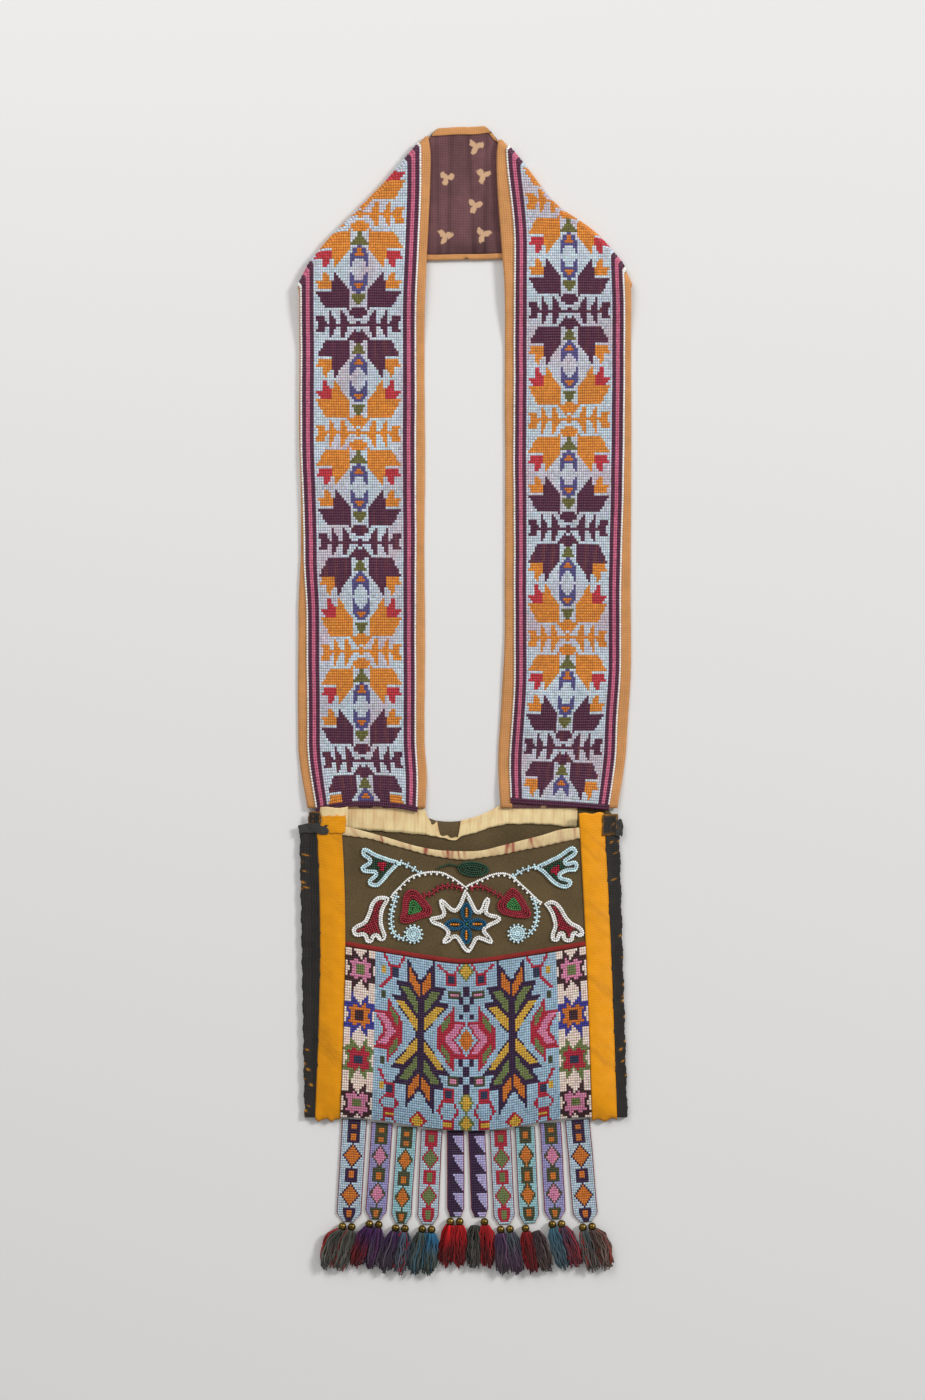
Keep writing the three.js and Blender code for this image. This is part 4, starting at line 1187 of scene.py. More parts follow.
class BAG_OT_pouch_silk(Operator):
    """Sews on the silk facing, the lip binding, the red braid, the ribbons and the black edgings"""

    bl_idname = "bandolier.pouch_silk"
    bl_label = "Pouch silk"

    def execute(self, context):
        cloth = context.scene.bag_cloth
        facing = stained_and_shaded("aged_cream_silk", cloth.cream, cloth.tan)
        lip = stained_and_shaded("marked_cream_silk", cloth.cream, cloth.stain)
        braid = woven("red_wool_braid", cloth.braid)[0]
        yellow = stained_and_shaded("yellow_silk_ribbon", cloth.yellow, cloth.ribbon_stain_and_crease_shade)
        black = stained_and_shaded("worn_black_ribbed_ribbon", cloth.black, cloth.yellow)
        rag = woven("faded_black_ribbon_shreds", cloth.rag)[0]
        self.sew_facing(facing)
        self.sew_lip(lip)
        self.sew_braid(braid)
        self.sew_ribbons(yellow)
        self.sew_edgings(black)
        self.sew_scraps({"yellow": yellow, "black": black, "rag": rag, "cream": facing})
        return {"FINISHED"}

    def sew_facing(self, silk):
        def facing(share, run, height):
            u = (share * 2 - 1) * FACING_SHARE
            x = across_pouch(u, FACING_LEVEL) + lean_at(FACING_LEVEL)
            hem = profile(FACING_HEM, x) + 0.5 * waver(x * 0.5, 0, 9)
            top = mix(back_top(x) + 0.6, 2.0, beneath_straps(x))
            frayed = between(x, *FACING_FRAYED)
            top = top - frayed * FRAY_DEPTH * patches(x * 1.1, 0, 8, -0.35)
            top = mix(top, hem + TEAR_LEFT + 1.2 * waver(x * 1.3, 0, 7), between(x, *FACING_TEAR))
            y = mix(hem, top, run)
            loose = 1 - ease(y, -6, -2)
            gather = 0.45 * loose * waver(x * 1.05, run, 10)
            return in_frame(x, y, SEAT + 0.05 + np.abs(gather) + height)

        def streaks(share, run):
            # Warm darker streaks in narrow upright bands, over soft patches
            folds = patches(share * 95, run * 1.4, 12) + patches(share * 210, run * 2.0, 22)
            return 0.34 * folds + 0.22 * patches(share * 21, run * 3.0, 42)

        mesh, points = lay_cloth("mouth_facing_silk", 170, 8, 0.35, (202.0, 20.0), facing, streaks)
        piece = add_piece(mesh, points, silk, ("mouth_facing",))

    def sew_lip(self, silk):
        def place_of(share):
            return across_pouch((share * 2 - 1) * SEWN_SHARE, LIP_LEVEL) + lean_at(LIP_LEVEL)

        def lip(share, run, height):
            x = place_of(share)
            hem = profile(LIP_HEM, x) + 0.25 * np.cos(2 * math.pi * x / SCALLOP)
            hem = hem + 0.3 * waver(x * 0.3, 0, 13)
            y = mix(hem, profile(LIP_TOP, x) + 0.2 * waver(x * 0.22, 0, 14), run)
            crown = 0.4 * np.sin(math.pi * np.clip(run, 0, 1)) + 0.16 * waver(x * 0.9, run, 15)
            return on_front((share * 2 - 1) * SEWN_SHARE, y, 0.2 + crown + height)

        def marks(share, run):
            x = place_of(share)
            found = 0.22 + 0.25 * patches(x * 0.35, run * 2, 16) + 0.15 * (1 - ease(run, 0, 0.25))
            for number, mark in enumerate(LIP_MARKS):
                middle = mark + 1.2 * (run - 0.5) * (number % 3 - 1)
                tall = 0.42 - 0.3 * (number % 2) + 0.3 * run
                found = found + 1.3 * tall * hump(x, middle, 0.8 + 0.4 * (number % 3))
            return found

        mesh, points = lay_cloth("lip_binding_silk", 190, 6, 0.4, (204.0, 8.0), lip, marks)
        piece = add_piece(mesh, points, silk, ("lip_binding",))

    def sew_braid(self, wool):
        def braid(share, run, height):
            u = share * 2 - 1
            y = tape_at(u) - CLEARANCE - BRAID_WIDTH * (1 - run)
            crown = 0.4 * np.sin(math.pi * np.clip(run, 0, 1))
            return on_front(u * SEWN_SHARE, y, 0.05 + crown + height)

        mesh, points = lay_cloth("red_braid", 80, 6, 0.5, (204.0, BRAID_ROOM), braid)
        piece = add_piece(mesh, points, wool, ("red_tape",))

    def sew_ribbons(self, silk):
        for side, word in SIDES:
            def ribbon(share, run, height):
                u = side * (1 + share)
                ragged = 1.8 * waver(share * 14, 0, 17 + side)
                y = mix(bottom_at(u) - 2.2 + ragged, RIBBON_TOP[side] + 0.5 * ragged, run)
                ripple = 0.2 * waver(share * 4, y * 0.13, 19 + side)
                ripple = ripple + 0.12 * waver(share * 9, y * 0.5, 29 + side)
                flat = on_front(u, np.maximum(y, bottom_at(u)), 0.3 + ripple + height)
                flat[:, 1] = (y + SEAM_Y) * MM
                return flat

            def creases(share, run):
                # Slanting darker bands are stains and painted shade of the ribbon's creases; it is darker
                # too at its lower end and along both edges
                slant = share * 5 + run * 60 * side
                wear = 0.55 * patches(slant, run * 9, 26 + side, 0.35)
                hem = 0.8 * (1 - ease(run, 0.0, 0.02))
                edge = 0.35 * (1 - ease(np.minimum(share, 1 - share), 0.0, 0.08))
                return wear + hem + edge

            size = (RIBBON_WIDTH, 252.0)
            mesh, points = lay_cloth(f"{word}_ribbon_silk", 18, 150, 0.35, size, ribbon, creases)
            piece = add_piece(mesh, points, silk, (f"{word}_ribbon",))

    def sew_edgings(self, ribbed):
        for side, word in SIDES:
            def edging(share, run, height):
                over = np.clip(share / EDGING_TURN, 0, 1)
                u = side * (2 + over)
                y = mix(bottom_at(u), EDGING_START[side], run)
                down = np.clip((share - EDGING_TURN) / (1 - EDGING_TURN), 0, 1)
                round_over = ease(over, 0.85, 1.0)
                frayed = 0.7 * waver(y * 0.5, share, 23 + side)
                x = pouch_x(u, y) + side * (frayed - 0.9 * round_over)
                top = gape_at(np.abs(x - lean_at(y)), y, bottom_at(u)) + FRONT_SKIN + 0.15
                z = mix(top + height * (1 - round_over), 0.15, down)
                return in_frame(x + side * height * round_over, y, z)

            draw = np.random.default_rng(33 + side)
            across = EDGING_TURN * draw.beta(1.6, 0.4, FLECKS)
            along = draw.uniform(0, 1, FLECKS)
            wide = draw.uniform(0.05, 0.13, FLECKS)
            tall = draw.uniform(0.001, 0.004, FLECKS)

            def worn_spots(share, run):
                found = 0 * share
                for k in range(FLECKS):
                    slant = along[k] + 0.02 * (share - across[k])
                    found = found + 0.8 * hump(share, across[k], wide[k]) * hump(run, slant, tall[k])
                return found

            size = (15.0, 245.0)
            mesh, points = lay_cloth(f"{word}_edging_ribbon", 20, 260, 0.5, size, edging, worn_spots)
            piece = add_piece(mesh, points, ribbed, (f"{word}_edging",))

    def sew_scraps(self, cloths):
        for number, (name, kind, across, down, lift, torn) in enumerate(CORNER_SCRAPS):
            wide = across[1] - across[0]
            tall = down[1] - down[0]

            def scrap(share, run, height):
                torn_x = torn * waver(run * 7, share, 36 + number) * np.abs(2 * share - 1)
                torn_y = torn * waver(share * 9, run, 46 + number) * np.abs(2 * run - 1)
                x = mix(*across, share) + torn_x
                y = mix(*down, run) + torn_y
                crumple = 0.3 * waver(x * 0.5, y * 0.5, 56 + number)
                under = gape_at(np.abs(x - lean_at(y)), np.minimum(y, -CORNER_DROP), -POUCH_HEIGHT)
                return in_frame(x, y, under + FRONT_SKIN + 0.2 + lift + crumple + height)

            def wear(share, run):
                rim = 1 - ease(np.minimum(np.minimum(share, 1 - share), np.minimum(run, 1 - run)), 0.0, 0.12)
                return 0.3 * rim + 0.5 * patches(share * 11, run * 9, 66 + number, 0.5)

            mesh, points = lay_cloth(name, 14, 12, 0.3, (wide, tall), scrap, wear)
            piece = add_piece(mesh, points, cloths[kind])


# Loom panel

PANEL_COLUMNS = 113
PANEL_ROWS = 67
PANEL_MIDDLE = 36.6
X_AXIS = 21.3

# Shapes about the axis of each X in beads, mirrored left, right, up and down; later ones cover earlier
PANEL_CROSS = (
    ("crimson", [(15.4, 13.2), (8.2, 4.2), (8.2, -0.5), (16.4, -0.5), (21.5, 7.4), (15.6, 7.4)]),
    ("leaf", [(14.3, 10.4), (10.2, 5.8), (9.7, 2.4), (10.7, 2.4), (13.6, 6.4)]),
    ("rose", [(10.9, -0.5), (14.6, -0.5), (19.8, 6.0), (16.2, 6.0)]),
    (
        "night",
        [
            (0, -0.5), (2.2, -0.5), (2.2, 1.2), (13.6, 14.4), (8.7, 14.4), (12, 20.5), (6.4, 20.5),
            (6.4, 30.3), (0, 21.8),
        ],
    ),
    ("gold", [(11.7, 12.8), (8.2, 12.8), (1.6, 6.4), (1.6, 1.4)]),
    ("leaf", [(9.4, 18.4), (5.4, 18.4), (1.4, 13.4), (1.4, 8.2)]),
    ("amber", [(5.2, 26.8), (5.2, 21), (0.5, 15.1), (0.5, 20.2)]),
)

# Shapes from the panel's middle in beads, mirrored left and right
PANEL_PAIRS = (
    ("crimson", box(7, 23.8, 2.4, 2.8)),
    ("navy", box(7, 23.8, 1.4, 1.7)),
    ("crimson", stroke(9, 26.3, 13.6, 29.5)),
    ("crimson", stroke(5, 26.3, 2.8, 31)),
    ("crimson", box(33.5, 23.5, 2.4, 2.5)),
    ("navy", box(33.5, 23.5, 1.5, 1.6)),
    ("crimson", stroke(35.5, 25.8, 38.6, 30.6)),
    ("crimson", stroke(31.5, 25.8, 28, 31)),
    ("crimson", stroke(35.3, 21.4, 40, 16.6)),
    ("gold", box(38.6, 23.6, 0.9, 1.7)),
    ("bottle", box(38.6, 13.6, 1.0, 1.3)),
    ("bottle", box(5.5, 17.8, 2.7, 1.7)),
    ("rose", box(5.5, 17.8, 1.6, 0.9)),
    ("bottle", box(6.2, -16.6, 2.7, 1.7)),
    ("rose", box(6.2, -16.6, 1.6, 0.9)),
    ("crimson", hexagon(8.2, -28.9, 5.0, 4.6)),
    ("water", hexagon(8.2, -28.9, 3.8, 3.5)),
    ("crimson", box(8, -21.8, 2.4, 2.5)),
    ("navy", box(8, -21.8, 1.4, 1.6)),
    ("crimson", box(8.2, -34.5, 2.8, 1.9)),
    ("gold", box(8.2, -34.5, 1.9, 1.0)),
    ("crimson", hexagon(35.1, -28.6, 4.5, 3.5)),
    ("water", hexagon(35.1, -28.6, 3.3, 2.4)),
    ("crimson", box(34.8, -23.2, 2.2, 2.1)),
    ("navy", box(34.8, -23.2, 1.4, 1.2)),
    ("crimson", box(34.8, -33, 2.7, 1.7)),
    ("gold", box(34.8, -33, 1.8, 0.9)),
    ("crimson", stroke(33.4, -34.4, 31.2, -37.2)),
    ("crimson", stroke(36.4, -34.4, 38.6, -37.2)),
    ("crimson", stroke(36.6, -21.2, 39.6, -15.8)),
    ("gold", box(38.4, -22.4, 0.9, 1.6)),
    ("bottle", box(38.6, -11.9, 1.0, 1.3)),
    ("crimson", [(21.9, -30.2), (25.9, -34.2), (23.6, -38), (20.2, -38), (17.9, -34.2)]),
    ("gold", [(21.9, -31.8), (24.5, -34.3), (22.9, -37.8), (20.9, -37.8), (19.3, -34.3)]),
)
PANEL_CENTRE = (
    ("water", diamond(0, 0, 5.2, 6.4)),
    ("amber", diamond(0, 0, 3.7, 4.6)),
    ("leaf", diamond(0, 27.4, 3.7, 4.2)),
    ("gold", diamond(0, 27.4, 2.6, 3.0)),
    ("leaf", diamond(0, -25, 3.6, 5.0)),
    ("gold", diamond(0, -25, 2.5, 3.7)),
    ("leaf", diamond(0, -34, 3.8, 4.6)),
    ("gold", diamond(0, -34, 2.6, 3.3)),
)

# Dark checks above and below the centre: place, half width and half height
CHECKS = ((0, 19.5, 1.1, 1.7), (2.3, 16, 1.1, 1.6), (0, 12.6, 1.1, 1.7), (2.3, 9.3, 1.1, 1.4))

# One quarter of a side star, mirrored both ways, and each star's height, outline, body and centre
SIDE_COLUMN = 42.5
SIDE_STAR_AT = 49.3
SIDE_STAR_OUTER = [(0, 0), (0, 3.9), (3.9, 8.9), (4.3, 4.8), (7.4, 4.6), (5.1, 0)]
SIDE_STAR_BODY = [(0, 0), (0, 2.7), (2.2, 4.9), (2.9, 3.5), (5.3, 3.4), (3.8, 0)]
SIDE_STAR_CENTRE = [(0, 0), (2.1, 0), (2.1, 1.6), (0, 1.6)]
SIDE_STARS = (
    (22.4, "bark", "rose", "leaf"), (4.4, "indigo", "amber", "bark"),
    (-12.8, "leaf", "crimson", "navy"), (-30.4, "bark", "rose", "leaf"),
)


def panel_bead_colours(colours):
    """The loom panel's pattern, drawn bead by bead from its shapes."""
    column, row = bead_grid(PANEL_COLUMNS, PANEL_ROWS, PANEL_MIDDLE)
    found = np.tile(np.array(colours.water), (column.size, 1))
    beside = np.abs(column)
    height = np.abs(row)
    fill_shapes(found, colours, PANEL_CROSS, np.abs(beside - X_AXIS), height)
    fill_shapes(found, colours, PANEL_PAIRS, beside, row)
    fill_shapes(found, colours, PANEL_CENTRE, column, row)
    for x, y, half_width, half_height in CHECKS:
        square = box(x, y, half_width, half_height)
        found[inside(square, column, height) | inside(square, -column, height)] = colours.night
    margin = beside > SIDE_COLUMN
    found[margin] = colours.shell
    x = np.abs(beside - SIDE_STAR_AT)
    for y, *keys in SIDE_STARS:
        for key, polygon in zip(keys, (SIDE_STAR_OUTER, SIDE_STAR_BODY, SIDE_STAR_CENTRE)):
            found[inside(polygon, x, np.abs(row - y)) & margin] = getattr(colours, key)
    return found


class BAG_OT_loom_panel(Operator):
    """Weaves the loom panel on the pouch's front"""

    bl_idname = "bandolier.loom_panel"
    bl_label = "Loom panel"

    def execute(self, context):
        colours = context.scene.bag_beads
        pattern = panel_bead_colours(colours)

        def place(column, row, height):
            u = (column / PANEL_COLUMNS * 2 - 1) * SEWN_SHARE
            u = u + 0.002 * waver(row * 0.2, column * 0.05, 62)
            run = row / PANEL_ROWS + 0.004 * waver(column * 0.12, row * 0.1, 63)
            y = mix(bottom_at(u) + 0.2, tape_at(u) - BRAID_ROOM - CLEARANCE, np.clip(run, 0, 1))
            return on_front(np.clip(u, -1, 1), y, 0.05 + height)

        mesh, points = weave_beads(
            "loom_panel_beads", PANEL_COLUMNS, PANEL_ROWS, dyed(pattern, PANEL_COLUMNS, PANEL_ROWS, 64),
            place, tuple(colours.thread), 65,
        )
        add_piece(mesh, points, glass_beads(), ("loom_panel",))
        return {"FINISHED"}


# Bead embroidery: the outlines of each side's pieces, in millimetres from the strap's seam

FLOWER = {
    -1: [
        (-56.1, -45.9), (-66.3, -41.7), (-76.5, -37.8), (-83.3, -34), (-87.1, -33.6), (-88.8, -36.6),
        (-87.6, -40.8), (-82.9, -44.6), (-87.6, -48), (-89.5, -51), (-87.1, -54.4), (-81.6, -55.3),
        (-77.8, -55.7), (-82.5, -59.9), (-83.3, -63.8), (-80.3, -66.3), (-74.8, -66.7), (-70.6, -63.3),
        (-63.8, -55.3),
    ],
    1: [
        (59, -49.5), (68.2, -44.2), (78.6, -38.9), (86.7, -33.2), (91.4, -32.3), (94.4, -36.6),
        (92.2, -40.8), (85.2, -45.5), (92.3, -44.2), (95.4, -48.1), (93, -53.4), (86.4, -54), (80.6, -57.3),
        (88.4, -59.9), (90.1, -63.8), (86.4, -67.7), (80.6, -67.7), (73.4, -63.8), (65.5, -55.9),
    ],
}
FLOWER_HEART = {
    -1: [(-75.6, -46.7), (-67.1, -45.4), (-70.6, -54.5)],
    1: [(70.1, -53.4), (78.6, -47.4), (77.9, -57.3)],
}
FLOWER_STEM = {
    -1: [(-55.5, -46), (-50.1, -47.9), (-43.9, -51.5), (-39.1, -55)],
    1: [(58.3, -49.5), (51.2, -51.4), (45.2, -54), (40.6, -57.4)],
}
TULIP = {
    -1: [
        (-65.2, -75.7), (-70.6, -74), (-76.2, -75.2), (-81, -80.6), (-83.4, -87.9), (-87, -95.2),
        (-93.8, -98.9), (-96.8, -102.5), (-95.5, -107.4), (-91.3, -109.1), (-87, -108.5), (-84.7, -113.4),
        (-79.8, -114), (-76.7, -109.1), (-73.7, -112.4), (-69.2, -111.9), (-67.4, -107.4), (-70, -100),
        (-70.6, -92.7), (-69.2, -85.5), (-65.8, -79.4),
    ],
    1: [
        (66.1, -80.8), (71.4, -77.8), (77.3, -79.5), (81.9, -84.7), (85.2, -90.6), (89.7, -95.9),
        (96.9, -99.8), (100, -104.4), (99, -108.3), (94.9, -109.2), (92, -107.4), (91, -112),
        (87.7, -113.6), (83.8, -113.2), (81.4, -110.9), (80.6, -107.4), (78.6, -112.2), (75, -113.2),
        (72.1, -111.5), (71.8, -106.3), (74, -99.8), (73.1, -94.5), (71.4, -89.3), (68.2, -84.1),
    ],
}
HEART = {
    -1: [
        (-51.9, -72.2), (-47.6, -68.5), (-42.8, -69.1), (-37.9, -73.4), (-31.8, -80.7), (-28.8, -85.5),
        (-30, -90.4), (-35.4, -92.6), (-42.8, -95.2), (-50.1, -97.7), (-54.9, -97), (-56.1, -94),
        (-54.3, -86.7), (-53.6, -78.2),
    ],
    1: [
        (40, -67.1), (45.9, -72.3), (51.2, -80.8), (55.1, -88.7), (54, -92.6), (47.2, -93), (38.1, -91.6),
        (30.2, -89.1), (26.3, -84.3), (27.6, -78.2), (32.1, -74.3), (35.7, -69.4),
    ],
}
HEART_STEM = {
    -1: [(-35.4, -73.4), (-29.4, -72.2), (-23.3, -67.6), (-16, -65.6), (-8.7, -66.2), (-3.4, -67.6)],
    1: [(32.1, -75), (26.3, -72.9), (21.1, -69.9), (14.5, -66.9), (8, -66.4), (4.6, -67.4)],
}
TENDRIL = {
    -1: [
        (-59.2, -74.5), (-61.5, -81.9), (-63.2, -89.2), (-63.4, -96.4), (-62.1, -103.7), (-59.8, -107.2),
        (-56, -109.6), (-53, -110),
    ],
    1: [(57.4, -76.6), (59, -81.5), (60.3, -88), (59.7, -94.5), (57.6, -101.1), (54.4, -105), (51.6, -107)],
}
ROSETTE = {-1: (-44.6, -106.6, 6.6), 1: (43.3, -106, 6.6)}
VINE = {
    -1: [
        (-63.4, -75), (-61.6, -72.2), (-57.3, -67.9), (-50.1, -60.6), (-43.9, -57), (-36.6, -54.9),
        (-28.1, -53.9), (-19.6, -54.9), (-12.4, -58.4), (-6.3, -62.4), (-2, -65.8),
    ],
    1: [
        (-0.2, -66.6), (4.1, -64.2), (11.9, -60.5), (21.1, -56.6), (28.9, -55.1), (35.4, -55.9),
        (40.6, -59.2), (47.2, -65.1), (53.7, -71), (60.3, -77.5), (63.6, -79.6),
    ],
}
STAR_LOBES = [
    (-1.5, -69.4), (-4.1, -75.2), (-6.3, -80.6), (-9.6, -84.9), (-13.6, -82.4), (-17.9, -78.2),
    (-21.5, -76.6), (-23, -78.8), (-22.1, -83.6), (-20.3, -89.1), (-24.5, -91), (-29.4, -91.9),
    (-31.2, -94.2), (-28.8, -97.9), (-22.7, -100.3), (-17.5, -103.7), (-17, -106.7), (-19.4, -110.6),
    (-20.4, -113.4), (-18.2, -115), (-14.2, -113.6), (-9.4, -110.2), (-6, -114.2), (-2.8, -119.4),
    (1.4, -122.6), (4.7, -120.4), (7.3, -115.9), (9.9, -111.6), (14.5, -112.6), (19.6, -114.8),
    (22.4, -114.4), (22.6, -111.6), (19.4, -106.8), (16.8, -103), (21.7, -99.8), (27.6, -96.9),
    (29.9, -93.5), (26.9, -90.4), (21.7, -89.3), (18.4, -87.4), (19.5, -82.1), (20.4, -77.5), (17.8, -75.2),
    (14.5, -78.9), (12.6, -84.1), (9.9, -86.4), (7, -81.4), (3.4, -74.3), (0.2, -69.4),
]
PETALS = (
    (0.4, -88.2, 8.9, 5.0, math.pi / 2), (0.2, -107.4, 8.4, 4.8, math.pi / 2),
    (9.6, -98.0, 8.5, 5.0, 0.0), (-9.6, -98.4, 9.2, 5.0, 0.0),
)
PETAL_POINT = 0.3
PETAL_CORE = 3.2
HUB = (0.6, -98.0)
HUB_RADIUS = 2.4
GREEN_SHARE = 0.44
LEAF = (6.0, -51.4, 13.6, 6.6, -0.08)
LEAF_STEM = [(-8.2, -48.6), (-13.6, -47.3), (-18.4, -48.5), (-23.3, -50.4)]


def smooth_path(points, closed):
    """A smooth line through the points, sampled finely."""
    knots = np.array(points, float)
    if closed:
        padded = np.concatenate([knots[-1:], knots, knots[:2]])
    else:
        padded = np.concatenate([2 * knots[:1] - knots[1:2], knots, 2 * knots[-1:] - knots[-2:-1]])
    share = np.linspace(0, 1, 24, endpoint=False)[:, None]
    line = []
    for before, start, end, after in zip(padded, padded[1:], padded[2:], padded[3:]):
        bend = 2 * start + (end - before) * share
        bend = bend + (2 * before - 5 * start + 4 * end - after) * share ** 2
        line.append((bend + (3 * start - before - 3 * end + after) * share ** 3) / 2)
    path = np.concatenate(line)
    return path if closed else np.concatenate([path, knots[-1:]])


def offset_path(path, distance, closed):
    """The path moved sideways, to its left."""
    ahead = np.roll(path, -2, axis=0) - np.roll(path, 2, axis=0)
    if not closed:
        ahead = np.gradient(path, axis=0)
    ahead = ahead / np.maximum(np.linalg.norm(ahead, axis=1), 1e-9)[:, None]
    return path + distance * np.stack([-ahead[:, 1], ahead[:, 0]], axis=-1)


def area_of(path):
    """The area inside a closed path, negative where it runs clockwise."""
    x, y = path[:, 0], path[:, 1]
    return 0.5 * np.sum(x * np.roll(y, -1) - np.roll(x, -1) * y)


def spaced(path, closed, spacing):
    """Places at equal steps along a path, and the direction at each."""
    line = np.concatenate([path, path[:1]]) if closed else path
    step = np.linalg.norm(np.diff(line, axis=0), axis=1)
    run = np.concatenate([[0], np.cumsum(step)])
    count = max(int(round(run[-1] / spacing)), 2)
    at = np.linspace(0, run[-1], count, endpoint=not closed)
    spots = np.stack([np.interp(at, run, line[:, 0]), np.interp(at, run, line[:, 1])], axis=-1)
    further = np.minimum(at + 0.3, run[-1])
    ahead = np.stack([np.interp(further, run, line[:, 0]), np.interp(further, run, line[:, 1])], axis=-1)
    ahead = ahead - spots
    ahead[np.linalg.norm(ahead, axis=1) < 1e-6] = (1, 0)
    return spots, np.arctan2(ahead[:, 1], ahead[:, 0])


class BeadStrings:
    """Couched strings of beads, gathered for one piece. Steps are shares of a bead's diameter."""

    along_string = 0.97
    between_strings = 0.95
    nearest = 0.66

    # Lightness of the strings by turns, so that neighbouring strings stand apart, a bead's shape, and how
    # unlike beads are in size, height and tint
    lots = (1.1, 0.85)
    shape = (1.0, 1.12, 1.02)
    size_spread = 0.05
    height_spread = 0.05
    tint_spread = 0.1

    def __init__(self, bead):
        self.bead = bead
        self.spots = []
        self.turns = []
        self.colours = []

    def add(self, spots, turns, colour):
        """Beads at these spots, apart from any that would lie on one already there."""
        for spot, turn in zip(spots, turns):
            if all(math.dist(spot, other) > self.nearest * self.bead for other in self.spots):
                self.spots.append(tuple(spot))
                self.turns.append(turn)
                self.colours.append(tuple(colour))

    def line(self, path, closed, colour):
        """One string along a path."""
        spots, turns = spaced(path, closed, self.bead * self.along_string)
        self.add(spots, turns, colour)

    def stem(self, points, step, colour, sides=(-1, 1)):
        """One string through the points, with picots on the given sides."""
        path = smooth_path(points, False)
        self.line(path, False, colour)
        self.picots(path, False, sides, step, colour)

    def by_turns(self, colour, number):
        """The colour of one string among others, lighter and darker by turns so that neighbouring strings
        stand apart.
        """
        return np.array(colour) * self.lots[number % 2]

    def rings(self, path, colour, count):
        """Strings that follow a closed path inside each other."""
        inward = self.bead * self.between_strings * (1 if area_of(path) > 0 else -1)
        for number in range(count):
            self.line(offset_path(path, inward * (number + 0.5), True), True, self.by_turns(colour, number))

    def nest(self, path, colour, count):
        """Strings in the shape of a closed path, each smaller about its middle."""
        middle = path.mean(axis=0)
        radius = np.linalg.norm(path - middle, axis=1).mean()
        for number in range(count):
            size = 1 - (number + 0.5) * self.bead / radius
            self.line(middle + (path - middle) * size, True, self.by_turns(colour, number))

    def fill(self, outline, margin, turn, colour, heart=None, heart_colour=None):
        """Straight strings side by side inside an outline, with another colour inside its heart."""
        along = np.array([math.cos(turn), math.sin(turn)])
        beside = np.array([-along[1], along[0]])
        middle = outline.mean(axis=0)
        reach = int(np.abs(outline - middle).max() * 1.5 / self.bead) + 1
        steps = np.arange(-reach, reach + 1) * self.bead * self.along_string
        rim = [tuple(corner) for corner in outline]
        for number, step in enumerate(steps):
            spots = middle + steps[:, None] * along + step * beside
            from_rim = np.linalg.norm(spots[:, None] - outline[None], axis=2).min(axis=1)
            for spot in spots[inside(rim, spots[:, 0], spots[:, 1]) & (from_rim > margin * self.bead)]:
                in_heart = heart is not None and inside(heart, spot[0], spot[1])
                self.add([spot], [turn], self.by_turns(heart_colour if in_heart else colour, number))

    def picots(self, path, closed, sides, step, colour):
        """Single beads that stand off a string, on the given sides."""
        for side in sides:
            beside = offset_path(path, side * self.bead * self.between_strings, closed)
            spots, turns = spaced(beside, closed, step)
            self.add(spots, turns, colour)

    def build(self, name, material, nodes):
        """The piece: a small faceted ball for each bead, a little wider than it is long."""
        radius = self.bead / 2
        height = WOOL_TOP + 0.1 + radius
        draw = np.random.default_rng(len(name) * 7 + len(self.spots))
        bm = bmesh.new()
        owner = bm.verts.layers.int.new("bead")
        for number, ((x, y), turn) in enumerate(zip(self.spots, self.turns)):
            tilt = Matrix.Rotation(turn, 4, "Z") @ Matrix.Rotation(math.pi / 2, 4, "Y")
            size = radius * (1 + draw.normal(0, self.size_spread))
            shape = Matrix.Diagonal((*(size * part for part in self.shape), 1))
            spot = Matrix.Translation((x, y, height + draw.normal(0, self.height_spread)))
            made = bmesh.ops.create_uvsphere(
                bm, u_segments=6, v_segments=4, radius=1.0, matrix=spot @ tilt @ shape
            )
            for vert in made["verts"]:
                vert[owner] = number
        mesh = mesh_from(bm, name)
        flat = read(mesh.vertices, "co", 3)
        corner_vertex = read(mesh.loops, "vertex_index", 1, np.int32)
        bead = read(mesh.attributes["bead"].data, "value", 1, np.int32)[corner_vertex]
        tint = np.array(self.colours) * (1 + draw.normal(0, self.tint_spread, (len(self.spots), 1)))
        paint(mesh, "bead_colour", np.clip(tint, 0, 1)[bead])
        return add_piece(mesh, in_frame(flat[:, 0], flat[:, 1], flat[:, 2]), material, nodes)


def ellipse(x, y, half_length, half_width, turn, point=0.0):
    """A closed path round an ellipse, narrowed towards its ends by point."""
    angle = np.linspace(0, 2 * math.pi, 60, endpoint=False)
    a = half_length * np.cos(angle)
    b = half_width * np.sin(angle) * (1 - point * np.cos(angle) ** 2)
    along = x + a * math.cos(turn) - b * math.sin(turn)
    return np.stack([along, y + a * math.sin(turn) + b * math.cos(turn)], axis=-1)


